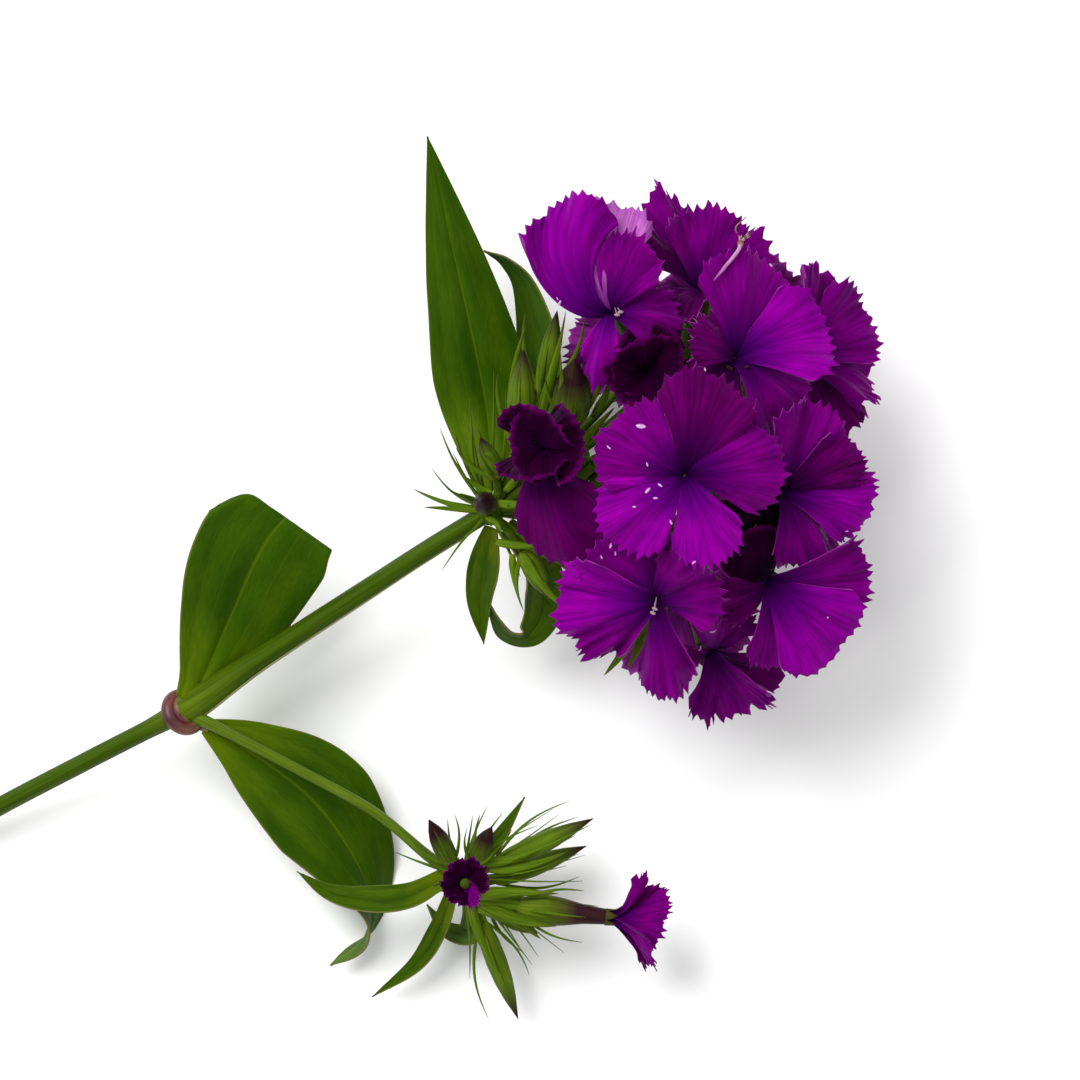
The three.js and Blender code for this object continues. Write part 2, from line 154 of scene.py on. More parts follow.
def add_node(finish, kind, inputs=(), **settings):
    """A shader node, with its inputs set to values or joined to other nodes' outputs."""
    made = finish.node_tree.nodes.new(kind)
    for key, value in settings.items():
        setattr(made, key, value)
    for key, value in dict(inputs).items():
        if isinstance(value, bpy.types.NodeSocket):
            finish.node_tree.links.new(value, made.inputs[key])
        else:
            made.inputs[key].default_value = value
    return made


def new_finish(name, gleam=(1, 1, 1), **sockets):
    """A material whose main shader has these values on its own sockets, and this gleam colour."""
    finish = bpy.data.materials.new(name)
    finish.use_nodes = True
    shader = finish.node_tree.nodes["Principled BSDF"]
    for key, value in sockets.items():
        shader.inputs[key.replace("_", " ")].default_value = value
    shader.inputs["Specular Tint"].default_value = (*gleam, 1)
    return finish


def feed(finish, socket, output):
    shader = finish.node_tree.nodes["Principled BSDF"]
    finish.node_tree.links.new(output, shader.inputs[socket])


def uv_map(finish):
    return add_node(finish, "ShaderNodeTexCoord").outputs["UV"]


def share_along(finish):
    """How far along its piece a point is, from 0 at the foot to 1 at the end."""
    return add_node(finish, "ShaderNodeSeparateXYZ", {0: uv_map(finish)}).outputs["Y"]


def streaks(finish, across, along, detail=3):
    """Noise drawn out along the piece: across and along say how many streaks each way."""
    scaled = {"Vector": uv_map(finish), "Scale": (across, along, 1)}
    drawn = add_node(finish, "ShaderNodeMapping", scaled).outputs[0]
    grain = {"Vector": drawn, "Scale": 1, "Detail": detail}
    return add_node(finish, "ShaderNodeTexNoise", grain).outputs["Fac"]


def ramp(finish, amount, stops):
    """Colours at places from 0 to 1."""
    made = add_node(finish, "ShaderNodeValToRGB", {"Fac": amount})
    band = made.color_ramp.elements
    while len(band) < len(stops):
        band.new(0.5)
    for element, (place, colour) in zip(band, stops):
        element.position = place
        element.color = (*colour, 1)
    return made.outputs["Color"]


def mix(finish, amount, first, second, blend="MIX"):
    """Two colours mixed. Each is a colour or another node's output."""
    made = finish.node_tree.nodes.new("ShaderNodeMix")
    made.data_type = "RGBA"
    made.blend_type = blend
    for key, value in ((0, amount), (6, first), (7, second)):
        if isinstance(value, bpy.types.NodeSocket):
            finish.node_tree.links.new(value, made.inputs[key])
        else:
            made.inputs[key].default_value = (*value, 1) if key else value
    return made.outputs[2]


def tinted(finish, colour, amount, stops):
    """A colour multiplied by the colours that the stops give for an amount."""
    return mix(finish, 1, colour, ramp(finish, amount, stops), "MULTIPLY")


def bump(finish, height, distance, strength=1):
    relief = {"Height": height, "Distance": distance, "Strength": strength}
    feed(finish, "Normal", add_node(finish, "ShaderNodeBump", relief).outputs["Normal"])


def ends_of(node, towards):
    """A long CAD piece's foot and mouth, which are the middles of its two ends, and the way from
    foot to mouth. Its mouth is the end towards a place."""
    corners = np.array([corner.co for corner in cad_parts[node].data.vertices])
    centre = corners.mean(0)
    axis = np.linalg.svd(corners - centre, full_matrices=False)[2][0]
    axis = axis * np.sign((towards - centre) @ axis)
    along = (corners - centre) @ axis
    end_depth = 0.3 * MM
    mouth = corners[along > along.max() - end_depth].mean(0)
    foot = corners[along < along.min() + end_depth].mean(0)
    return foot, mouth, unit(mouth - foot)


# The joint, the fork in the head and the fork in the side cluster, which is the nest.
joint = middle("joint_collar")
fork = joint + np.array([46.6, 30.1, 12]) * MM
nest = joint + np.array([42.4, -25.4, -3.5]) * MM
# The stem's middle line, in mm from the joint, and its radius at distances along from the joint.
STEM_ROUTE = [
    [-49, -26.8, -13.5], [-42, -22.6, -12.4], [-28.5, -14.9, -8.8], [-14.5, -7.6, -4.2],
    [0, 0, 0], [10.5, 7, 3], [27, 17.7, 8], [37.5, 24.5, 11], [46.6, 30.1, 12],
]
STEM_GIRTH = [
    (-60, 1.36), (-6, 1.36), (-1.5, 1.6), (0.5, 2.3), (3, 2.3), (8, 1.95), (16, 1.56), (40, 1.42),
    (58, 1.34),
]
STEM_STEPS = 90
PEDICEL_STEPS = 14
PEDICEL_FOOT = 0.72
PEDICEL_TOP = 0.6
head_flowers = [f"flower_{number:02d}" for number in range(1, 16)]
side_flowers = ["side_flower_rolled", "side_flower_open"]
head_buds = [f"head_bud_{kind}" for kind in ("tall", "dark", "behind", "slim", "facing", "low")]
side_buds = [f"side_bud_{kind}" for kind in ("dark", "upright", "long", "under", "short", "low")]
# Where each flower and bud has its foot and its mouth or tip, and the way it faces.
stands = {}
for flower in head_flowers + side_flowers:
    stands[flower] = ends_of(flower + "_calyx", middle(flower + "_petals"))
for bud in head_buds:
    stands[bud] = ends_of(bud, 2 * middle(bud) - fork)
for bud in side_buds:
    stands[bud] = ends_of(bud, 2 * middle(bud) - nest)


def pedicel(root, one):
    """A short stalk from a fork, turning in line with what it carries."""
    foot, _, facing = stands[one]
    bend = foot - facing * 0.38 * np.linalg.norm(foot - root)
    t = shares(PEDICEL_STEPS)[:, None]
    path = (1 - t) ** 2 * root + 2 * t * (1 - t) * bend + t**2 * (foot + facing * 0.4 * MM)
    return round_body(path, np.linspace(PEDICEL_FOOT, PEDICEL_TOP, PEDICEL_STEPS) * MM, 10)


def knot(place, half_length, radius):
    """The swelling at a fork, where the short stalks part."""
    along = np.linspace(-half_length, half_length, 9)
    path = place + along[:, None] * MM * unit(place - joint)
    return round_body(path, np.sqrt(1 - np.linspace(-0.95, 0.95, 9) ** 2) * radius * MM)


def stem_ridges(angles, along):
    return 1 + 0.035 * np.cos(4 * angles) + 0.02 * np.cos(9 * angles + 3 * along)


def stalk_green(name, low, high):
    """Satin green skin with fine lengthwise streaks: low at both ends and high in the middle."""
    finish = new_finish(name, (0.6, 0.9, 0.2), Roughness=0.42, Specular_IOR_Level=0.15)
    stops = [(0, low), (0.44, low), (0.51, high), (0.62, low), (1, low)]
    body = ramp(finish, share_along(finish), stops)
    fine = streaks(finish, 26, 7)
    skin = tinted(finish, body, fine, [(0.3, (0.62, 0.66, 0.5)), (0.7, (1.25, 1.2, 1.3))])
    feed(finish, "Base Color", skin)
    bump(finish, fine, 0.05 * MM, 0.5)
    return finish


stem_path = joint + smooth_path(STEM_ROUTE, STEM_STEPS) * MM
stem_radii = np.interp(np.linspace(-57, 57.5, STEM_STEPS), *zip(*STEM_GIRTH)) * MM
stem_green = stalk_green("stem green", (0.034, 0.068, 0.0015), (0.075, 0.12, 0.004))
stem_parts = [round_body(stem_path, stem_radii, 28, stem_ridges), knot(fork, 2, 2.2)]
stem_parts += [pedicel(fork, one) for one in head_flowers + head_buds]
make_piece("stem", stem_parts, [stem_green], ["main_stem"])
# A pale raised line runs along its lower side, between these steps of its length. Its paleness is
# partly its own colour and partly a painted highlight.
EDGE_FROM = 46
EDGE_TO = 86
beside = np.cross(tangents_of(stem_path), [0, 0, 1]) * 0.98 + [0, 0, 0.12]
edge_path = (stem_path + beside * stem_radii[:, None])[EDGE_FROM:EDGE_TO]
edge = round_body(edge_path, np.linspace(0.36, 0.22, EDGE_TO - EDGE_FROM) * MM, 10)
edge_pale_highlight = stalk_green("stem edge", (0.24, 0.25, 0.11), (0.24, 0.22, 0.12))
make_piece("stem_edge", [edge], [edge_pale_highlight])


# ------------
# Side branch. A thinner, paler shoot from the joint to the side cluster, where it forks into the
# stalks of that cluster's flowers and buds.

# Its middle line, in mm from the joint, and its radius at steps of its length.
SIDE_ROUTE = [
    [1.6, -1, 0.2], [5, -2.4, 1], [17.5, -9, -0.3], [29, -15.5, -2], [37.5, -22.5, -3],
    [42.4, -25.4, -3.5],
]
SIDE_GIRTH = [(0, 1), (8, 0.8), (45, 0.75), (59, 0.95)]
SIDE_STEPS = 60
branch_green = stalk_green("side branch green", (0.08, 0.135, 0.008), (0.09, 0.15, 0.01))
branch_path = joint + smooth_path(SIDE_ROUTE, SIDE_STEPS) * MM
branch_radii = np.interp(np.arange(SIDE_STEPS), *zip(*SIDE_GIRTH)) * MM
branch_parts = [round_body(branch_path, branch_radii, 18, stem_ridges), knot(nest, 1.6, 1.9)]
branch_parts += [pedicel(nest, one) for one in side_flowers + side_buds]
make_piece("side_shoot", branch_parts, [branch_green], ["side_branch"])


# ------------
# Joint collar. The feet of the two stem leaves are grown together into a swollen ring round the
# joint. It is mauve and brown, darkest round its middle and greener at its upper end.
def collar_ridges(angles, along):
    return 1 + 0.05 * np.cos(2 * angles + 0.6) * math.sin(math.pi * along)


# The ring's radius at distances along the stem from the joint, in mm.
COLLAR_GIRTH = [(-2.9, 1.4), (-2.4, 1.75), (-1.2, 2.4), (0.2, 2.4), (1.2, 1.6)]
# The step of the stem's length that is at the joint.
JOINT_STEP = 44
collar_steps = np.linspace(COLLAR_GIRTH[0][0], COLLAR_GIRTH[-1][0], 18)
collar_shape = np.interp(collar_steps, *zip(*COLLAR_GIRTH))
collar_path = joint + collar_steps[:, None] * unit(tangents_of(stem_path)[JOINT_STEP]) * MM
# A thicker lip lies most of the way round it, tipped to one side.
LIP_STEPS = 44
LIP_GIRTH = [(0, 0.3), (0.12, 0.8), (0.5, 1.15), (0.85, 1), (1, 0.5)]
LIP_RADIUS = 2.75
lip_axis = unit([0.5, 0.34, 0.8])
lip_right = unit(np.cross([0, 1, 0], lip_axis))
lip_up = np.cross(lip_axis, lip_right)
lip_turns = np.linspace(math.radians(62), math.radians(345), LIP_STEPS)[:, None]
lip_path = np.cos(lip_turns) * lip_right + np.sin(lip_turns) * lip_up
lip_path = joint + (lip_path * LIP_RADIUS + [0.2, -0.15, 0]) * MM
lip_radii = np.interp(shares(LIP_STEPS), *zip(*LIP_GIRTH)) * MM
# The lower leaf's foot swells out of it.
FOOT_STEPS = 16
leaf_foot = joint + np.array([[0.4, -1.2, -0.6], [1.8, -1.9, -0.5], [3.9, -2.7, -0.6]]) * MM
foot_path = smooth_path(leaf_foot, FOOT_STEPS)
collar_mauve = new_finish("joint mauve", Roughness=0.38, Specular_IOR_Level=0.3)
rings = ramp(collar_mauve, share_along(collar_mauve), [
    (0, (0.1, 0.06, 0.025)),
    (0.25, (0.105, 0.034, 0.03)),
    (0.5, (0.065, 0.016, 0.022)),
    (0.75, (0.12, 0.045, 0.03)),
    (1, (0.15, 0.16, 0.03)),
])
blotches = streaks(collar_mauve, 7, 4, 5)
BLOTCH_STOPS = [(0.35, (0.55, 0.5, 0.5)), (0.65, (1.5, 1.45, 1.5))]
feed(collar_mauve, "Base Color", tinted(collar_mauve, rings, blotches, BLOTCH_STOPS))
bump(collar_mauve, blotches, 0.15 * MM, 0.6)
collar = [
    round_body(collar_path, collar_shape * MM, 40, collar_ridges),
    round_body(lip_path, lip_radii, 20),
    round_body(foot_path, np.linspace(1.1, 0.75, FOOT_STEPS) * MM, 20),
]
make_piece("collar", collar, [collar_mauve], ["joint_collar"])


# ------------
# Leaves. Each is one thin blade, broad or narrow, with a sunk midrib, fainter ribs beside it and
# a thin paler margin. The stem leaves grow from the collar, and the others from the two forks.
# The upper stem leaf is folded back on itself, and the lower one has curled its tip round.
BLADE_ROWS = 96
BLADE_COLUMNS = 33
SIDE_RIBS = (0.36, 0.66)
# A leaf comes no nearer the table than this, in mm.
TABLE_GAP = 0.25


def blade(root, foot, path, ups, width, belly, foot_share, point=1.6, trough=0.15, wave=0,
          seed=0):
    """A leaf's grid, from its foot to its tip. Its foot is in mm from its root, its path in mm
    from its foot, and its upper face looks along ups. It is widest at belly, has foot_share of
    that at its foot and tapers by point. trough lifts its margins and wave ripples them."""
    spine = root + (np.array(foot) + smooth_path([[0, 0, 0], *path], BLADE_ROWS)) * MM
    tangents = tangents_of(spine)
    knots = shares(len(ups))
    along = shares(BLADE_ROWS)
    faces_up = np.stack([np.interp(along, knots, np.array(ups)[:, k]) for k in range(3)], axis=1)
    sides = np.cross(faces_up, tangents)
    sides /= np.linalg.norm(sides, axis=1)[:, None]
    over = np.cross(tangents, sides)
    swell = foot_share + (1 - foot_share) * np.sin(np.pi / 2 * np.minimum(along / belly, 1))
    taper = 1 - np.maximum((along - belly) / (1 - belly), 0) ** point
    half = width / 2 * swell * np.maximum(taper, 0.015)
    across = np.linspace(-1, 1, BLADE_COLUMNS)
    sway = random.Random(seed).uniform(0, 6)
    rise = trough * np.outer(half, np.abs(across) ** 1.5)
    ribbed = np.minimum(half / 3, 1)
    rise -= 0.22 * np.outer(ribbed, np.exp(-((across / 0.07) ** 2)))
    for rib in SIDE_RIBS:
        rise -= 0.06 * np.outer(ribbed, np.exp(-(((np.abs(across) - rib) / 0.05) ** 2)))
    ripple = np.outer(np.sin(along * 17 + sway), across**3)
    ripple = ripple + 0.6 * np.outer(np.sin(along * 31 + 2 * sway), np.abs(across) ** 4)
    rise -= 0.018 * np.outer(half, np.cos(np.pi * 3 * np.abs(across)) * (1 - across**2))
    rise += wave * ripple * np.minimum(half / 4, 1)[:, None]
    out = np.outer(half, across)[..., None] * sides[:, None, :]
    grid = spine[:, None, :] + (out + rise[..., None] * over[:, None, :]) * MM
    grid[..., 2] = np.maximum(grid[..., 2], TABLE_GAP * MM)
    return grid[:, ::-1]


# The fold's straight part lies between these places on its crease, in mm from the joint.
FOLD_ENDS = (-9.4, 4.2)


def fold_under(grid, crease, lean, radius):
    """The blade past a crease is turned under the rest. The crease is a line across the table,
    that many mm from the joint and in the direction of lean, and it rounds off at its two ends."""
    lean = unit(lean)
    square = np.array([-lean[1], lean[0]])
    flat = (grid[..., :2] - joint[:2]) / MM
    aside = flat @ lean
    ends = np.maximum(FOLD_ENDS[0] - aside, 0) ** 2 + np.maximum(aside - FOLD_ENDS[1], 0) ** 2
    past = flat @ square - crease + radius + 0.3 * ends
    turn = np.clip(past / radius, 0, math.pi)
    beyond = np.maximum(past - math.pi * radius, 0)
    shift = np.where(past > 0, radius * np.sin(turn) - beyond - past, 0)
    slide = 2.2 * (1 - np.exp(-beyond / 5))
    grid[..., :2] += (shift[..., None] * square + slide[..., None] * lean) * MM
    grid[..., 2] -= (radius * (1 - np.cos(turn)) + 0.6 * beyond) * MM
    return grid


def math_node(finish, operation, first, second=0):
    return add_node(finish, "ShaderNodeMath", {0: first, 1: second}, operation=operation).outputs[0]


# How pale a leaf is at places out from the middle of its midrib: its midrib and two side ribs.
RIB_LINES = [
    (0, 1), (0.007, 0.85), (0.018, 0), (0.168, 0), (0.18, 0.28), (0.192, 0), (0.318, 0),
    (0.33, 0.2), (0.342, 0),
]


def leaf_finish(name, body, light, margin):
    """Leaf green with a pale midrib, side ribs, a faint net, a thin margin and painted shade by the
    midrib.
    """
    finish = new_finish(name, (0.6, 0.9, 0.2), Roughness=0.42, Specular_IOR_Level=0.12)
    across = add_node(finish, "ShaderNodeSeparateXYZ", {0: uv_map(finish)}).outputs["X"]
    off_rib = math_node(finish, "ABSOLUTE", math_node(finish, "SUBTRACT", across, 0.5))
    skin = ramp(finish, streaks(finish, 3, 4, 5), [(0.3, body), (0.72, light)])
    foot = [(0, (3.6, 2.2, 1)), (0.1, (2.4, 1.7, 1)), (0.3, (1, 1, 1))]
    skin = tinted(finish, skin, share_along(finish), foot)
    # Painted shade in the valleys beside the midrib, and painted light on the blade further out.
    skin = tinted(finish, skin, off_rib, [
        (0.03, (0.9, 0.95, 0.8)),
        (0.1, (0.76, 0.86, 0.7)),
        (0.3, (1.15, 1.08, 1.2)),
        (0.38, (0.95, 0.97, 0.9)),
    ])
    net = streaks(finish, 90, 26, 2)
    skin = tinted(finish, skin, net, [(0.35, (0.86, 0.88, 0.8)), (0.65, (1.12, 1.1, 1.15))])
    ribs = ramp(finish, off_rib, [(place, (share,) * 3) for place, share in RIB_LINES])
    pale = (2.6 * light[0], 1.9 * light[1], 3 * light[2])
    skin = mix(finish, math_node(finish, "MULTIPLY", ribs, 0.35), skin, pale)
    edge = ramp(finish, off_rib, [(0.486, (0, 0, 0)), (0.495, (1, 1, 1))])
    feed(finish, "Base Color", mix(finish, edge, skin, margin))
    veins = math_node(finish, "ADD", math_node(finish, "MULTIPLY", ribs, 0.7), net)
    bump(finish, veins, 0.07 * MM, 0.7)
    return finish


LEAF_THICKNESS = 0.32 * MM
leaf_over = leaf_finish(
    "leaf green", (0.016, 0.05, 0.0004), (0.04, 0.088, 0.0012), (0.1, 0.12, 0.02)
)
leaf_under = leaf_finish(
    "leaf underside", (0.06, 0.115, 0.018), (0.095, 0.16, 0.034), (0.14, 0.12, 0.03)
)
bract_over = leaf_finish(
    "bract green", (0.022, 0.054, 0.0006), (0.048, 0.092, 0.0015), (0.18, 0.22, 0.06)
)
LEAVES = {
    "leaf_folded": dict(
        root=joint, foot=[0.9, 1.3, 1.5], width=20.6, belly=0.55, foot_share=0.22, wave=0.08,
        trough=0.06,
        path=[[2.8, 4.7, -0.2], [6.6, 12.9, 1.6], [10.3, 21, 4.8], [13.2, 25.7, 6.2],
              [16.8, 29.2, 7], [21, 31.8, 7.4], [25.2, 33.6, 7.6], [29.4, 34.8, 7.8]],
        ups=[[0.3, -0.2, 1], [0.25, -0.3, 1], [0.1, -0.3, 1], [0.1, -0.2, 1]],
    ),
    "leaf_curled": dict(
        root=joint, foot=[3.4, -2.4, -0.7], width=17.8, belly=0.44, foot_share=0.14, wave=0.12,
        trough=0.08, point=1.3,
        path=[[7, -4.2, -1.6], [16, -11.4, -5.6], [22.4, -20.4, -9.2], [24.8, -27.5, -10.8],
              [23.9, -33, -11], [18.6, -37, -10.6]],
        ups=[[0, 0.1, 1], [0, 0, 1], [0.1, 0.1, 1], [0.4, 0, 0.9], [0.9, -0.3, 0.3],
             [0.3, -0.5, -0.9]],
    ),
    "head_leaf_long": dict(
        root=fork, foot=[0.6, 3.2, -3], width=14.4, belly=0.33, foot_share=0.35, wave=0.2,
        trough=-0.12, point=1.35,
        path=[[-1, 12, -2.4], [-3.6, 25, -0.6], [-6.8, 39, 1], [-10, 53, 1.8]],
        ups=[[0.1, 0.1, 1], [0.2, 0, 1], [0.2, 0, 1]],
    ),
    "head_leaf_behind": dict(
        root=fork, foot=[3, 3.4, -4.4], width=9, belly=0.4, foot_share=0.4, point=1.4,
        path=[[3.6, 11, -5], [4.4, 21, -7.6], [2.4, 30.4, -8.6], [-0.6, 34.4, -7.6],
              [-4, 36, -5.6]],
        ups=[[-0.6, 0.2, 1], [-0.7, 0.2, 1], [-0.5, -0.6, 1], [-0.3, -0.9, 0.8]],
    ),
    "head_leaf_hanging": dict(
        root=fork, foot=[0.2, -2.4, -1.4], width=5.4, belly=0.4, foot_share=0.4, point=1.5,
        path=[[-0.8, -5, -2.4], [-1.8, -11, -5.6], [-1.2, -17.6, -8]],
        ups=[[-0.4, 0.2, 1], [-0.4, 0.2, 1], [-0.2, 0.2, 1]],
    ),
    "head_leaf_strap": dict(
        root=fork, foot=[2.4, -2.2, -3.4], width=6.4, belly=0.36, foot_share=0.5, point=1.5,
        path=[[5, -6, -3.2], [5.6, -12.6, -7.6], [3.2, -16.6, -9.4], [0.2, -16.4, -8.4],
              [-1.6, -14, -5.6], [-3, -10.8, -3.4]],
        ups=[[0.6, 0.3, 1], [0.3, 0.2, 1], [-0.2, -0.9, 0.6], [-0.5, -0.7, 0.4]],
    ),
    "side_leaf_broad": dict(
        root=nest, foot=[-2.4, 0.2, -0.6], width=4.4, belly=0.42, foot_share=0.6, point=1.5,
        path=[[-5.6, -3, 1.4], [-12, -3.6, 1.4], [-18, -2.6, -1], [-23, 0.4, -3.6]],
        ups=[[-0.1, 0.5, 1], [0, 0.4, 1], [-0.2, 0.3, 1]],
    ),
    "side_leaf_narrow": dict(
        root=nest, foot=[-1.6, -2.2, -1.2], width=3.2, belly=0.4, foot_share=0.6, point=1.5,
        path=[[-2, -5.6, -2], [-5.6, -11.4, -4.6], [-12.4, -16.6, -7]],
        ups=[[-0.4, 0.2, 1], [-0.3, 0.4, 1]],
    ),
    "side_leaf_under": dict(
        root=nest, foot=[0.6, -1.6, -2.8], width=3.8, belly=0.5, foot_share=0.5, point=1.5,
        path=[[0.8, -4.6, -2.8], [0, -7.6, -4.6], [-3.4, -6.8, -5.4], [-6.2, -3, -4.6]],
        ups=[[0, 0.6, 1], [0.2, 0.6, 1], [0.4, 0.6, 1]],
    ),
    "side_leaf_upright": dict(
        root=nest, foot=[2, 1.6, -0.4], width=2.6, belly=0.3, foot_share=0.6, point=1.3,
        path=[[3.6, 4.6, 0.6], [7.4, 10.6, 1.6]],
        ups=[[-0.3, 0.3, 1], [-0.3, 0.3, 1]],
    ),
}
for number, (leaf, shape) in enumerate(LEAVES.items()):
    top = leaf_over
    if leaf.startswith("side") or leaf in ("head_leaf_hanging", "head_leaf_strap"):
        top = bract_over
    if leaf == "side_leaf_under":
        top = leaf_under
    grid = blade(seed=number, **shape)
    if leaf == "leaf_folded":
        grid = fold_under(grid, crease=32.9, lean=[13.4, -9.5], radius=0.8)
    make_piece("blade_" + leaf, [grid], [top, leaf_under], [leaf], LEAF_THICKNESS, 1)


# ------------
# Calyces. Each flower sits in a green tube of five joined sepals, ribbed lengthwise, with five
# pointed teeth at its mouth that have gone purple-brown.
def cross_frame(facing):
    """Two directions square to facing. The second is as near the table's +Y as it can be."""
    up = np.array([0, 1, 0]) if abs(facing[1]) < 0.8 else np.array([0, 0, 1])
    up = unit(up - facing * (up @ facing))
    return np.cross(up, facing), up


SEPALS = 5
# Radius in mm at shares of a calyx's length, and the slim calyx of the open side flower.
CALYX_SHAPE = [
    (0, 0.75), (0.05, 1.25), (0.16, 1.85), (0.38, 2.25), (0.6, 2.2), (0.82, 1.95), (1, 1.8),
]
SLIM_CALYX_SHAPE = [(0, 0.75), (0.08, 1.6), (0.3, 2.35), (0.5, 2.1), (0.75, 1.45), (1, 1.15)]


def calyx_ribs(angles, along):
    return 1 + 0.06 * np.abs(np.cos(7.5 * angles)) - 0.03


def calyx_body(foot, mouth, shape):
    steps = shares(26)
    path = foot + steps[:, None] * (mouth - foot)
    return round_body(path, np.interp(steps, *zip(*shape)) * MM, 45, calyx_ribs)


def calyx_teeth(mouth, facing, flare, ring=1.72, reach=2):
    """Pointed teeth in a ring round the mouth, leaning out by flare, all in mm."""
    right, up = cross_frame(facing)
    teeth = []
    for number in range(SEPALS):
        angle = 2 * math.pi * (number + 0.3) / SEPALS
        outward = math.cos(angle) * right + math.sin(angle) * up
        steps = shares(7)
        path = mouth + outward * ring * MM + (steps[:, None] - 0.12) * facing * reach * MM
        path = path + steps[:, None] ** 1.6 * outward * flare * MM
        radii = (1 - steps**1.3) * 0.78 * MM + 0.03 * MM
        teeth.append(round_body(path, radii, 8, flatten=0.32, first_side=outward))
    return teeth


def sepal_finish(name, low, high, tip, tip_from):
    """Ribbed sepal green, from low at the foot to high, and to the tip's colour past tip_from."""
    finish = new_finish(name, (0.6, 0.9, 0.2), Roughness=0.45, Specular_IOR_Level=0.12)
    stops = [(0, low), (0.3, high), (tip_from, high), (min(1, tip_from + 0.34), tip)]
    body = ramp(finish, share_along(finish), stops)
    lines = streaks(finish, 34, 2.2, 2)
    tints = [(0.3, (0.5, 0.6, 0.4)), (0.52, (1, 1, 1)), (0.72, (1.5, 1.3, 1.6))]
    feed(finish, "Base Color", tinted(finish, body, lines, tints))
    bump(finish, lines, 0.08 * MM, 0.6)
    return finish


calyx_green = sepal_finish(
    "calyx green", (0.13, 0.2, 0.012), (0.075, 0.13, 0.006), (0.05, 0.05, 0.01), 0.8
)
tooth_brown = sepal_finish(
    "calyx teeth", (0.045, 0.03, 0.012), (0.05, 0.04, 0.01), (0.03, 0.005, 0.012), 0.5
)
calyx_brown = sepal_finish(
    "calyx gone brown", (0.12, 0.19, 0.01), (0.075, 0.115, 0.006), (0.026, 0.004, 0.011), 0.34
)
for flower in head_flowers + side_flowers:
    foot, mouth, facing = stands[flower]
    if flower == "side_flower_open":
        body, skin = calyx_body(foot, mouth, SLIM_CALYX_SHAPE), calyx_brown
        teeth = calyx_teeth(mouth, facing, 0.3, 1.05)
    else:
        body, skin = calyx_body(foot, mouth, CALYX_SHAPE), calyx_green
        teeth = calyx_teeth(mouth, facing, 0.9)
    make_piece(flower + "_tube", [body], [skin], [flower + "_calyx"])
    make_piece(flower + "_teeth", teeth, [tooth_brown])


# ------------
# Petals. Five to a flower, each a thin velvety fan on a narrow claw that comes out of the calyx.
# The margin is cut into sharp uneven teeth, the blade is pleated and waved, and each petal
# overlaps the next. They are purple, dark at the throat, with paler undersides. Petals facing
# the light are painted lighter, and those turned away, in gaps and in hollows carry painted shade.
PETAL_THICKNESS = 0.16 * MM
PETAL_ROWS = 24
TEETH = 13
# Columns of a petal's grid to a tooth, with how far each stands out.
TOOTH_STEPS = (0, 0.4, 1, 0.3)
PETAL_GAPS = len(TOOTH_STEPS) * TEETH
# How far down the calyx a claw starts, in mm.
CLAW_DEPTH = 1.4
# Below this height above the table a petal's sag is eased, so that it stays above the table.
PETAL_FLOOR = 1.5 * MM
# The eye of this flower leans, in mm, from its calyx mouth.
EYE_SHIFTS = {"flower_04": (0.1, -2.3, 0.8)}
CREASED = ("flower_02", "flower_04", "flower_05", "flower_07", "flower_08", "flower_09")


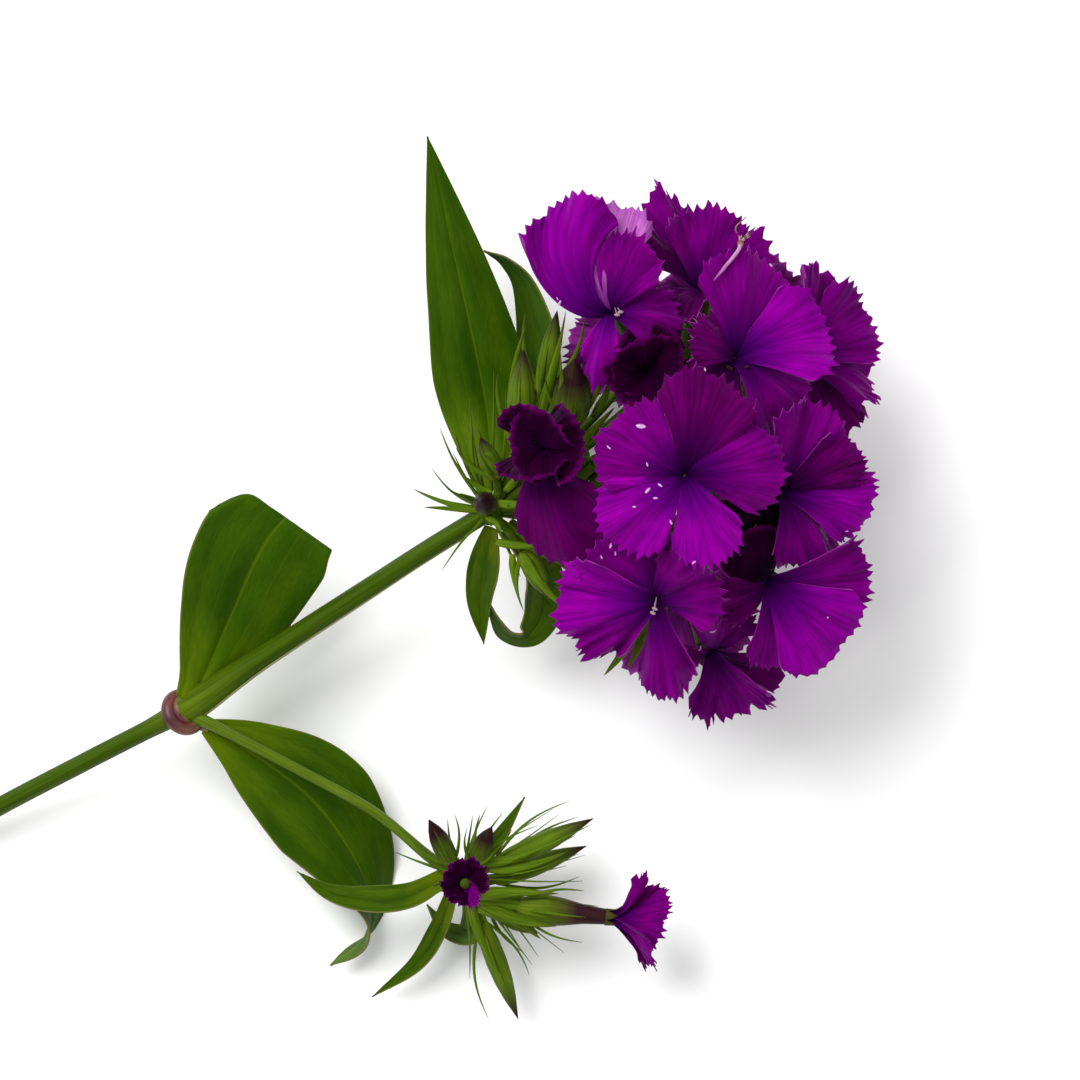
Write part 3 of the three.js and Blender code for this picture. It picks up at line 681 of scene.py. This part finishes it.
def petal(flower, tip, spread, curl, bend, narrow, chance, tooth, waves):
    """A petal's grid, from its claw to its margin. tip is the middle of its margin, in mm from
    the calyx mouth. In degrees, spread is half its fan, curl how far its margin rolls down and
    bend how far it swings sideways on its way. narrow takes that share off its corners, and
    tooth and waves say how much of the usual teeth and waves it has."""
    mouth, facing = stands[flower][1:]
    shift = np.array(EYE_SHIFTS.get(flower, (0, 0, 0)))
    mouth = mouth + shift * MM
    tip = np.array(tip, float) - shift
    ahead = unit(tip - facing)
    length = np.linalg.norm(tip - facing)
    over = unit(facing - ahead * (facing @ ahead))
    away = unit(tip - facing * (tip @ facing))
    curve = math.radians(curl)
    end = ahead * math.cos(curve) - over * math.sin(curve)
    start = away * 0.12 - facing * CLAW_DEPTH
    t = shares(60)[:, None]
    rise = start + facing * (2.2 + 0.06 * length)
    line = (1 - t) ** 3 * start + 3 * (1 - t) ** 2 * t * rise
    line = line + 3 * (1 - t) * t**2 * (tip - end * 0.5 * length) + t**3 * tip
    gone = np.r_[0, np.cumsum(np.linalg.norm(np.diff(line, axis=0), axis=1))]
    slopes = tangents_of(line)
    up = -away
    ups = []
    for slope in slopes:
        up = unit(up - slope * (up @ slope))
        ups.append(up)
    ups = np.array(ups)
    across = np.linspace(-1, 1, PETAL_GAPS + 1)
    along = shares(PETAL_ROWS) ** 0.85
    rows = along[:, None]
    heights = [chance.uniform(0.3, 1.5) for _ in range(TEETH + 1)]
    teeth = [heights[j // 4] * TOOTH_STEPS[j % 4] for j in range(PETAL_GAPS + 1)]
    teeth = np.array(teeth) * tooth
    shifts = np.array([chance.uniform(-0.012, 0.012) for _ in across])
    margin = gone[-1] * (1 - (0.08 + narrow) * across**2 - 0.13 * np.abs(across) ** 5)
    late = np.clip((along - 0.82) / 0.18, 0, 1) ** 1.2
    reach = margin * rows + late[:, None] * (teeth - 0.4 * tooth)
    fan = math.radians(spread) * (across + shifts) * (0.86 + 0.14 * rows)
    fan = fan + math.radians(bend) * (1 - rows)
    ahead_by = reach * np.cos(fan)
    aside = reach * np.sin(fan) + 0.75 * across * np.exp(-rows / 0.16)
    sway = chance.uniform(0, 6.3)
    pull = chance.uniform(0, 6.3)
    pace = chance.uniform(3, 5)
    fold = np.sin(pace * across + sway) + 0.5 * np.sin(1.9 * pace * across + pull)
    height = 0.07 * length * waves * rows**1.8 * fold
    height = height + 0.07 * rows * np.sin(TEETH * np.pi * across + sway)
    crease = np.sin(7 * rows + pull) * rows * np.sin(8 * across + sway)
    crease = crease + np.sin(6 * across + 9 * rows + pull) * rows**2
    height = height + 0.2 * waves * crease
    frill = np.sin(15 * across + pull) + 0.7 * np.sin(27 * across + sway)
    height = height + 0.26 * waves * rows**6 * frill
    # Each petal is tipped, so that it lies over the next on one side.
    height = height + 0.5 * rows * across
    beyond = np.maximum(ahead_by - gone[-1], 0)
    places, rises, runs = [
        np.stack([np.interp(ahead_by, gone, values[:, k]) for k in range(3)], axis=-1)
        for values in (line, ups, slopes)
    ]
    sides = np.cross(rises, runs)
    grid = places + beyond[..., None] * runs + aside[..., None] * sides + height[..., None] * rises
    grid = mouth + (grid + facing * 0.9) * MM
    depth = grid[..., 2]
    eased = PETAL_FLOOR * np.exp((depth - PETAL_FLOOR) / (3 * MM))
    grid[..., 2] = np.where(depth < PETAL_FLOOR, eased, depth)
    return grid[:, ::-1]


def petal_finish(name, eye, throat, body, rim):
    """Velvety petal colour: dark eye, body and rim, streaked from the claw to the margin."""
    finish = new_finish(name, (0.6, 0.02, 0.8), Roughness=0.6, Specular_IOR_Level=0.06,
                        Sheen_Weight=0.08, Sheen_Roughness=0.45, Sheen_Tint=(0.6, 0.02, 0.8, 1))
    waver = math_node(finish, "MULTIPLY", streaks(finish, 5, 1.5, 2), 0.22)
    reach = math_node(finish, "ADD", share_along(finish), waver)
    reach = math_node(finish, "SUBTRACT", reach, 0.11)
    skin = ramp(finish, reach, [(0.05, eye), (0.3, throat), (0.6, body), (0.9, body), (1, rim)])
    fine = streaks(finish, 62, 1.8, 3)
    lines = [(0.32, (0.72, 0.5, 0.76)), (0.5, (1, 1, 1)), (0.7, (1.2, 1.5, 1.16))]
    skin = tinted(finish, skin, fine, lines)
    patches = [(0.3, (0.74, 0.7, 0.8)), (0.65, (1.12, 1.1, 1.08))]
    skin = tinted(finish, skin, streaks(finish, 9, 2.5, 2), patches)
    feed(finish, "Base Color", skin)
    place = add_node(finish, "ShaderNodeTexCoord").outputs["Object"]
    nap = {"Vector": place, "Scale": 2600, "Detail": 2}
    velvet = add_node(finish, "ShaderNodeTexNoise", nap).outputs["Fac"]
    relief = math_node(finish, "ADD", fine, math_node(finish, "MULTIPLY", velvet, 0.25))
    bump(finish, relief, 0.07 * MM, 0.7)
    return finish


# Colours at the eye, throat, body and rim. A petal's tone is its place in this list, from 0.
# The first four are one petal colour with painted light, plain, with painted shade and with
# painted deep shade.
PETAL_TONES = {
    # Painted light: the petal colour made lighter for petals that face the lamp.
    "painted light": [(0.01, 0, 0.028), (0.08, 0, 0.13), (0.19, 0.0001, 0.218), (0.205, 0.0003, 0.225)],
    "purple": [
        (0.007, 0, 0.02), (0.055, 0, 0.082), (0.128, 0.0001, 0.134), (0.145, 0.0002, 0.145),
    ],
    # Painted shade: the petal colour darkened for petals turned from the light.
    "shaded": [
        (0.005, 0, 0.013), (0.032, 0, 0.042), (0.076, 0.0001, 0.067), (0.092, 0.0001, 0.082),
    ],
    # Painted deep shade for petals in dark gaps and in shaded hollow cups, less deep at the rim.
    "dark": [(0.001, 0, 0.001), (0.003, 0, 0.002), (0.014, 0.0001, 0.01), (0.075, 0.0002, 0.06)],
    "lilac": [(0.1, 0.01, 0.14), (0.26, 0.05, 0.28), (0.42, 0.12, 0.43), (0.36, 0.08, 0.38)],
    "underside": [(0.1, 0.01, 0.14), (0.15, 0.01, 0.17), (0.2, 0.014, 0.2), (0.27, 0.035, 0.26)],
}
# The tone of painted deep shade.
DEEP_SHADE_TONE = 3
UNDERSIDE_TONE = 5
petal_finishes = [petal_finish("petal " + name, *tones) for name, tones in PETAL_TONES.items()]
# Each petal: where the middle of its margin is, x, y and z in mm from the mouth, then spread,
# curl and tone, which sets its painted light and shade, and narrow and bend where it has them.
PETALS = {
    "flower_01": [
        (4.3, 14.9, -1.5, 33, 14, 2), (14.4, 1.7, -2, 33, 16, 1, 0.04),
        (4.8, -12.8, 1.6, 29, 8, 0, 0.06), (-11.4, -8.8, -0.8, 34, 14, 0, 0.06),
        (-11.8, 6.7, -1.2, 39, 16, 1),
    ],
    "flower_02": [
        (-14.7, 0.9, 0.5, 33, 14, 0), (-10.9, -7.6, -2.5, 20, 12, 1, 0.1, 6),
        (2.1, -14.2, -4, 20, 12, 1), (8.4, 3.3, 5, 50, 6, 1), (-7.4, 9.5, 2.5, 48, 8, 1),
    ],
    "flower_03": [
        (1.7, 15.2, -1, 34, 12, 1), (14, 4.5, -1.5, 36, 14, 0), (8.8, -8.3, -4, 38, 16, 1),
        (-4.8, -7.9, -4, 40, 12, 2), (-6.8, 3.6, 3.5, 36, 4, 2),
    ],
    "flower_04": [
        (-7.9, 13.9, 1, 28, 12, 0, 0.05, 50), (4.4, 8.7, 3.5, 36, 8, 1, 0.1),
        (-1.3, 14, -2, 32, 6, 4), (-1.6, -13, 0.6, 28, 26, 0, 0.3), (10.2, -4.2, 1, 34, 20, 1),
    ],
    "flower_05": [
        (13.4, -2.8, -3, 27, 14, 0), (5, 13, 3, 32, 6, 1), (11.9, 5.3, 1, 27, 8, 2),
        (4.7, -10.3, -3, 32, 14, 1), (-8, -7.3, -5, 38, 10, 3),
    ],
    "flower_06": [
        (11, -10.5, -3, 36, 16, 0), (15.1, 1.4, -2.4, 30, 14, 1), (2.7, -12.6, -4, 30, 10, 1),
        (-7.8, -3.6, 1, 34, 8, 2), (-4, 7.4, 3, 44, 10, 3),
    ],
    "flower_07": [
        (-6.5, 15.5, -3, 17, 8, 1, 0.05), (0.8, 12.5, 0, 35, 10, 1), (9.2, 7.7, -3, 30, 10, 1),
        (-9, 9.7, -4, 38, 10, 2), (-5.9, -2.6, 7, 38, 6, 2),
    ],
    "flower_08": [
        (4.1, 14, -1, 34, 10, 1), (11.3, 7.4, -3, 33, 14, 1), (12.3, -4, -4, 34, 16, 1),
        (7.1, -11.5, -2, 30, 12, 2), (-7, 4.4, 4, 32, 6, 2),
    ],
    "flower_09": [
        (-0.9, -10.3, -2, 15, 8, 1), (7.4, -9.1, -3, 32, 10, 1), (12.1, -2.8, -3, 34, 10, 2),
        (-4.9, -0.9, 3, 32, 8, 2), (3.1, 6, 6.5, 38, 8, 1),
    ],
    "flower_10": [
        (-0.3, 5.7, 7.2, 44, 40, 3), (5.8, 1, 7, 44, 40, 3), (5, -16.3, -3, 42, 14, 2, 0.25, -10),
        (-2.9, -4.8, 6.4, 44, 40, 3), (-5.1, 0.2, 6.6, 44, 44, 3),
    ],
    "side_flower_rolled": [
        (0.2, 4, 3.6, 34, 4, 3, 0.2), (3.5, 1.4, 3.6, 34, 4, 3, 0.2),
        (1.6, -3.3, 2.6, 20, 16, 1, 0.3), (-2, -2.7, 3.6, 34, 4, 3, 0.2),
        (-3.3, 1.5, 3.6, 34, 4, 3, 0.2),
    ],
    "side_flower_open": [
        (4.6, 6.4, 2, 12, 16, 1, 0, 10), (8.6, 0.9, 4, 34, 4, 1), (6.4, -6.7, 3, 32, 6, 1),
        (8, 2.4, -3, 30, 10, 2), (5.9, -6.1, -4, 30, 10, 2),
    ],
    "flower_11": [
        (-0.3, 5, 7.4, 44, 36, 3), (5.3, 1.8, 7.4, 44, 36, 3), (3.5, -4.4, 7, 44, 36, 3),
        (-3.5, -4.4, 6.4, 44, 36, 3), (-5, 2.4, 5.6, 44, 36, 3),
    ],
}
# These two are crowded by their neighbours, and their petals have only this share of the reach.
CROWDED = {"flower_12": 0.76, "flower_15": 0.94}
laid = []
for number, flower in enumerate(head_flowers + side_flowers):
    chance = random.Random(40 + number)
    shapes = PETALS.get(flower)
    if not shapes:
        # A flower on the side that the plant lies on has five like petals, evenly round.
        facing = stands[flower][2]
        right, up = cross_frame(facing)
        shapes = []
        for k in range(5):
            turn = math.radians(72 * k + 11 * number + chance.uniform(-4, 4))
            lift = chance.uniform(0.5, 3.5) * facing
            reach = chance.uniform(13.2, 14.6) * CROWDED.get(flower, 1)
            tip = reach * (math.cos(turn) * right + math.sin(turn) * up) + lift
            shapes.append((*tip, 37, chance.uniform(8, 18), 1))
    cupped = flower in ("flower_10", "flower_11", "side_flower_rolled")
    plain = cupped or flower == "side_flower_open"
    waves = 1.7 if flower in CREASED else 1
    grids = []
    tones = []
    for x, y, z, spread, curl, tone, *rest in shapes:
        narrow, bend = (*rest, 0, 0)[:2]
        tooth = 0.35 if tone == DEEP_SHADE_TONE else 1
        grid = petal(flower, (x, y, z), spread, curl, bend, narrow, chance, tooth, waves)
        grids.append(grid)
        tones.append(tone)
    laid.extend(grids)
    # Cupped flowers and the open side flower take only the tones up to painted deep shade, and the
    # same tone on their backs.
    finishes = petal_finishes[:DEEP_SHADE_TONE + 1] if plain else petal_finishes
    back = 0 if plain else UNDERSIDE_TONE
    nodes = [flower + "_petals"]
    piece = make_piece(flower + "_bloom", grids, finishes, nodes, PETAL_THICKNESS, back)
    for index, face in enumerate(piece.data.polygons):
        face.material_index = tones[index // ((PETAL_ROWS - 1) * PETAL_GAPS)]


# ------------
# Buds. Closed calyces, ribbed and pointed, yellow-green with the dark purple of the rolled petals
# showing at the tip.

# Share of a bud's radius at shares of its length, and how slim and how stout a bud may be, in mm.
BUD_SHAPE = [
    (0, 0.45), (0.06, 0.7), (0.2, 0.93), (0.4, 1), (0.6, 0.88), (0.78, 0.58), (0.9, 0.28),
    (0.97, 0.1), (1, 0.02),
]
BUD_SLIMMEST = 3.2
BUD_STOUTEST = 6.6


def bud_ribs(angles, along):
    return 1 + (0.07 * np.abs(np.cos(5 * angles + 1.2 * along)) - 0.035) * (1 - 0.5 * along)


bud_green = sepal_finish(
    "bud green", (0.14, 0.2, 0.008), (0.075, 0.13, 0.005), (0.022, 0.003, 0.01), 0.6
)
bud_dark_tip = sepal_finish(
    "dark bud", (0.11, 0.17, 0.006), (0.06, 0.09, 0.006), (0.016, 0.002, 0.008), 0.36
)
DARK_BUDS = ("side_bud_dark", "side_bud_upright", "head_bud_facing", "head_bud_dark")
for bud in head_buds + side_buds:
    foot, tip, facing = stands[bud]
    low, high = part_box(bud)
    length = np.linalg.norm(tip - foot)
    # What the bud's length leaves of the CAD box each way is its width.
    widths = []
    for k in range(3):
        spare = high[k] - low[k] - abs(facing[k]) * length
        widths.append(spare / math.sqrt(max(1 - facing[k] ** 2, 0.05)))
    width = max(min(max(widths), BUD_STOUTEST * MM), BUD_SLIMMEST * MM)
    steps = shares(34)
    path = foot + steps[:, None] * (tip - foot)
    radii = np.interp(steps, *zip(*BUD_SHAPE)) * width / 2
    finish = bud_dark_tip if bud in DARK_BUDS else bud_green
    body = round_body(path, radii, 40, bud_ribs)
    make_piece(bud + "_closed", [body], [finish], [bud])


# ------------
# Needle bracts. Thin green scales with long bristle points stand round the foot of each calyx and
# bud and spread from both forks.
def needle(start, tip, width, bow):
    """A tapering bristle from start to tip, in metres, bowed sideways by a share of its length."""
    steps = shares(12)
    reach = tip - start
    path = start + steps[:, None] * reach
    path = path + np.sin(np.pi * steps)[:, None] * np.array(bow) * np.linalg.norm(reach)
    radii = width / 2 * (1 - steps) ** 0.75 * (0.55 + 0.45 * np.minimum(steps / 0.25, 1))
    return round_body(path, radii + 0.03 * MM, 7, flatten=0.4)


def tuft(name, root, rows, seed, most_bow):
    """Needles or scales about a fork. Each row is the tip's x, y and z in mm from the fork, and
    the width in mm. A scale's row has its start's x, y and z before them."""
    chance = random.Random(seed)
    needles = []
    for *start, x, y, z, width in rows:
        end = root + np.array([x, y, z]) * MM
        start = root + np.array(start) * MM if start else root + unit(end - root) * 0.8 * MM
        bow = [chance.uniform(-most_bow, most_bow) for _ in range(3)]
        needles.append(needle(start, end, width * MM, bow))
    make_piece(name, needles, [needle_green])


needle_green = sepal_finish(
    "needle green", (0.13, 0.2, 0.008), (0.08, 0.145, 0.005), (0.07, 0.08, 0.012), 0.7
)
tuft("head_scales", fork, [
    (3.4, 10, 5, 5.4, 27.6, 9, 1.9), (7.6, 14, 6, 11, 27.4, 12, 2.5),
    (9.6, 12, 8, 10.6, 21.4, 14, 2.4), (5, 8, 8, 1.4, 16.4, 11, 1.7),
    (1.2, 1.2, 9, 7.6, 1.8, 13, 1.8), (0.4, 2.6, 9, -3.4, 5, 11, 1.6),
    (-0.4, -0.8, 9, 1.8, -3.2, 11, 1.5), (2.4, 3, 8, 5.6, 8.4, 12, 1.6),
    (24, -14, 8, 17, -24.4, 9, 2.6), (24.4, -15.4, 8, 20.4, -23.6, 9, 2),
    (25.6, -16.4, 8, 23.6, -22, 9, 1.6), (1, -4.6, 4, 8.6, -5.2, 9, 1.8),
    (6, -7, 5, 12, -14.8, 9, 2.2), (3.4, -6.4, 5, 4.4, -13.4, 6, 1.5),
    (15.4, 14, 6, 17.6, 19, 12, 1.8), (2, 6, 8, -1, 8.4, 12, 1.4), (10, 4, 4, 18.6, 15.4, 6, 3.2),
    (10, 1, 4, 19, 8.6, 6, 3.2), (11, -2, 4, 19, 3, 6, 3.2), (9, 8, 3, 16.6, 19, 5, 3.2),
    (10, -4, 4, 19, -3.4, 6, 3.2), (11, -1, 3, 20, 12, 5, 2.8),
], 21, 0.08)
tuft("side_scales", nest, [
    (1.8, -2.7, 2, 14.5, -2.4, 3.4, 2.6), (2.6, -4.2, 1, 14.2, -7.4, 2, 3),
    (2.2, -3.5, 1, 19, -5.6, 1, 3), (4, 1.4, 2, 16, 4, 2.6, 2.4), (2, 2.3, 2, 12.3, 4.8, 2.6, 2.2),
    (1, -3.4, 0, 5.5, -14.7, -1.4, 2.2), (2.4, -4.8, 0, 11.8, -9.4, 0.6, 2.4),
    (-1.4, 2, 1, -5, 7.6, 2.4, 1.6),
], 21, 0.08)
tuft("head_needles", fork, [
    (-11.4, 3.3, 3, 1.3), (-9.8, 0.6, 4, 1.2), (-7.4, 12.4, 5, 0.7), (-5.4, 8.6, 6, 0.8),
    (-7.2, -8.9, 2, 0.6), (-3, 16.8, 5, 0.6), (0.6, 21.3, 6, 0.6), (-5, 11.4, 8, 0.7),
    (-2.6, 12.8, 9, 0.9), (2.4, 17.6, 9, 0.9), (-4.4, -4.6, 5, 0.7), (-8.6, 6.4, 7, 0.6),
    (7.5, 18.5, 9, 1), (4.6, -9.8, 6, 0.8), (9.4, -8.8, 4, 0.9), (-6.2, 3.2, 9, 0.9),
], 7, 0.07)
tuft("side_needles", nest, [
    (-6.8, 5.3, 2, 0.6), (-10.4, 3.8, 0, 0.6), (-2.3, 8.9, 3, 0.7), (1.5, 9.4, 4, 0.7),
    (6, 9.8, 3, 0.7), (13.7, 10.4, 2, 0.4), (14.6, 9.7, 4, 0.4), (11.3, 8, 5, 0.5),
    (18.5, 3.3, 0, 0.4), (14.3, 2.3, 4, 0.4), (18.2, -0.5, 3, 0.4), (15.8, 1.8, 2, 0.4),
    (1, -15.7, -3, 0.6), (10.5, -13.5, -2, 0.5), (11.4, -12, 1, 0.5), (15.3, -11.5, 0, 0.4),
    (7, -14.5, -4, 0.6), (-5.6, -3.4, 3, 0.7), (3.6, 10.6, 1, 0.6), (8.6, -10.6, 2, 0.6),
], 7, 0.07)
# Four more stand round each flower and bud, leaning out.
BRACTS = 4
for one in head_flowers + side_flowers + head_buds + side_buds:
    chance = random.Random(one)
    foot, mouth, facing = stands[one]
    length = np.linalg.norm(mouth - foot)
    right, up = cross_frame(facing)
    grids = []
    for k in range(BRACTS):
        angle = 2 * math.pi * (k + chance.uniform(-0.2, 0.2)) / BRACTS
        outward = math.cos(angle) * right + math.sin(angle) * up
        start = foot + outward * 0.5 * MM
        ahead = facing * length * chance.uniform(0.6, 1.05)
        reach = ahead + outward * chance.uniform(2.6, 4.4) * MM
        slim, stout = (0.5, 0.8) if one.startswith("side") else (0.9, 1.3)
        width = chance.uniform(slim, stout) * MM
        grids.append(needle(start, start + reach, width, outward * 0.1))
    make_piece(one + "_bracts", grids, [needle_green])


# ------------
# Anthers, pollen and a dried style. Two pale anthers on fine filaments stand out of the throats
# of two of the open flowers. Spilt pollen lies on the petals, and one dried, jointed style from
# a spent flower is caught in the top of the head.
def bead(place, along, length, width, flatten=1):
    """A small smooth grain centred on a place."""
    steps = np.linspace(-1, 1, 9)
    path = place + steps[:, None] * along * length / 2
    radii = np.sqrt(1 - (steps * 0.97) ** 2) * width / 2
    return round_body(path, radii, 10, flatten=flatten)


petal_spots = np.concatenate([grid.reshape(-1, 3) for grid in laid])


def on_petals(x, y):
    """The highest petal surface within reach of a place, x and y in mm from the fork."""
    away = np.hypot(petal_spots[:, 0] - fork[0] - x * MM, petal_spots[:, 1] - fork[1] - y * MM)
    near = petal_spots[away < 0.7 * MM]
    return near[near[:, 2].argmax()] if len(near) else None


anther_pale = new_finish("anther pale", Roughness=0.7, Specular_IOR_Level=0.2)
dust = streaks(anther_pale, 9, 9, 4)
dusty = ramp(anther_pale, dust, [(0.3, (0.22, 0.13, 0.16)), (0.7, (0.46, 0.36, 0.36))])
feed(anther_pale, "Base Color", dusty)
bump(anther_pale, dust, 0.1 * MM)
# Where the anthers are, in mm from the mouth of their flower.
STAMENS = {
    "flower_02": [(-0.6, -2.4, 2.4), (-0.3, -1.8, 2.2)],
    "flower_04": [(0.8, -2.6, 3.2), (1.3, -2.2, 3.2)],
}
for flower, tips in STAMENS.items():
    mouth = stands[flower][1]
    grids = []
    for tip in tips:
        end = mouth + np.array(tip) * MM
        path = mouth + shares(10)[:, None] * (end - mouth)
        grids.append(round_body(path, np.full(10, 0.08 * MM), 8))
        grids.append(bead(end, unit(np.cross(end - mouth, [0.3, 0.2, 1])), 0.9 * MM, 0.5 * MM))
    make_piece(flower + "_stamens", grids, [anther_pale])
# The rolled side flower is setting seed, and its green pod shows in its throat.
foot, mouth, facing = stands["side_flower_rolled"]
pod = bead(mouth + facing * 1.6 * MM, facing, 3 * MM, 1.7 * MM)
make_piece("seed_pod", [pod], [calyx_green])
# Specks of pollen: x and y in mm from the fork, and size.
SPECKS = [
    (22.2, 12.6, 2), (17.2, 8.8, 1), (22.8, 6.2, 0.8), (24.7, 4.3, 1), (23.1, 3.4, 1.3),
    (24.9, 1.8, 0.9), (21.4, 1.2, 0.7), (27, -2.2, 1), (17.6, -5.4, 1.1), (18.2, -6.6, 0.9),
    (17, -6.6, 0.8), (33.6, -18.4, 1.3), (32, -20.6, 1), (52.6, -3.6, 0.7), (50, -16.2, 0.8),
    (11, 30.6, 1.1), (10.4, 31.6, 0.8), (31.6, 21, 0.9), (42, 36.2, 0.8), (29.6, -7.6, 0.8),
]
chance = random.Random(3)
specks = []
for x, y, size in SPECKS:
    place = on_petals(x, y)
    if place is not None:
        lie = unit([chance.uniform(-1, 1), chance.uniform(-1, 1), 0])
        place = place + np.array([0, 0, 0.08]) * MM
        specks.append(bead(place, lie, 0.8 * size * MM, 0.34 * size * MM, 0.4))
speck_white = new_finish("pollen", Roughness=0.6, Specular_IOR_Level=0.2)
SPECK_STOPS = [(0.3, (0.34, 0.12, 0.36)), (0.7, (0.66, 0.48, 0.66))]
grain = streaks(speck_white, 7, 7, 4)
feed(speck_white, "Base Color", ramp(speck_white, grain, SPECK_STOPS))
make_piece("pollen_specks", specks, [speck_white])
# The dried style's route, x and y in mm from the fork, and its radius at shares of its length.
STYLE = [(33, 33.8), (35, 36.2), (36.8, 38.6), (37.2, 40.8), (36.6, 42.2), (38.2, 43.8)]
STYLE_GIRTH = [
    (0, 0.08), (0.1, 0.26), (0.36, 0.28), (0.42, 0.46), (0.52, 0.5), (0.6, 0.2), (0.75, 0.16),
    (1, 0.08),
]
STYLE_STEPS = 44
STYLE_JOINT = 24
STYLE_LIFT = 0.4
thread = []
for x, y in STYLE:
    under = on_petals(x, y)
    height = thread[-1][2] if under is None else under[2] + STYLE_LIFT * MM
    thread.append([fork[0] + x * MM, fork[1] + y * MM, height])
thread = smooth_path(thread, STYLE_STEPS)
widths = np.interp(shares(STYLE_STEPS), *zip(*STYLE_GIRTH))
style_dry = new_finish("dried style", Roughness=0.7, Specular_IOR_Level=0.15)
dry = ramp(style_dry, share_along(style_dry), [
    (0, (0.3, 0.06, 0.3)),
    (0.3, (0.5, 0.3, 0.42)),
    (0.42, (0.19, 0.06, 0.025)),
    (0.56, (0.2, 0.07, 0.03)),
    (0.66, (0.5, 0.35, 0.3)),
    (1, (0.16, 0.11, 0.07)),
])
FADE = [(0.3, (0.6, 0.6, 0.6)), (0.7, (1.3, 1.3, 1.3))]
feed(style_dry, "Base Color", tinted(style_dry, dry, streaks(style_dry, 12, 20), FADE))
style = [round_body(thread, widths * MM, 12)]
# Short shreds stand out at its joint.
shred_start = thread[STYLE_JOINT]
for k in range(5):
    lean = np.array([chance.uniform(-0.6, 1.6), chance.uniform(0.4, 1.6), chance.uniform(0, 1)])
    style.append(needle(shred_start, shred_start + lean * MM, 0.3 * MM, [0.05, 0.05, 0]))
make_piece("dried_style", style, [style_dry])


# ------------
# Table, light and camera. A plain pale table top six metres across, soft light from a wide lamp
# on one side, a weaker one on the other and the room, and a camera a metre above the plant that
# looks straight down.
HALF = 3
corners = [(-HALF, -HALF, 0), (HALF, -HALF, 0), (HALF, HALF, 0), (-HALF, HALF, 0)]
table = bpy.data.meshes.new("table_top")
table.from_pydata(corners, [], [(0, 1, 2, 3)])
table_top = bpy.data.objects.new("table_top", table)
bpy.context.scene.collection.objects.link(table_top)
table_white = new_finish("table white", Roughness=0.9, Base_Color=(0.93, 0.93, 0.93, 1))
table.materials.append(table_white)


def soft_lamp(name, place, size, power):
    lamp = bpy.data.lights.new(name, "AREA")
    lamp.size = size
    lamp.energy = power
    made = bpy.data.objects.new(name, lamp)
    made.location = place
    # It faces the middle of the plant.
    aim = unit(np.array([0.02, 0, 0.02]) - np.array(place))
    made.rotation_euler = (math.acos(-aim[2]), 0, math.atan2(aim[0], -aim[1]) + math.pi)
    bpy.context.scene.collection.objects.link(made)


soft_lamp("window_lamp", (-0.5, 0.6, 1.1), 0.8, 19)
soft_lamp("fill_lamp", (0.7, -0.4, 1.2), 1, 3)
world = bpy.data.worlds.new("room")
world.use_nodes = True
room_light = world.node_tree.nodes["Background"].inputs
room_light["Color"].default_value = (1, 1, 1, 1)
room_light["Strength"].default_value = 0.64
bpy.context.scene.world = world
bpy.context.scene.view_settings.view_transform = "Standard"

# In metres: the camera is this far above the plant's own middle height, and sees this width there.
CAMERA_REACH = 1
PLANT_MIDDLE = 0.025
VIEW_WIDTH = 0.162
SENSOR = 36
camera = bpy.data.cameras.new("camera")
camera.sensor_width = SENSOR
camera.lens = SENSOR * CAMERA_REACH / VIEW_WIDTH
camera.clip_end = 20
eye = bpy.data.objects.new("camera", camera)
eye.location = (joint[0] + 54.1 * MM, joint[1] + 25.8 * MM, PLANT_MIDDLE + CAMERA_REACH)
bpy.context.scene.collection.objects.link(eye)
bpy.context.scene.camera = eye
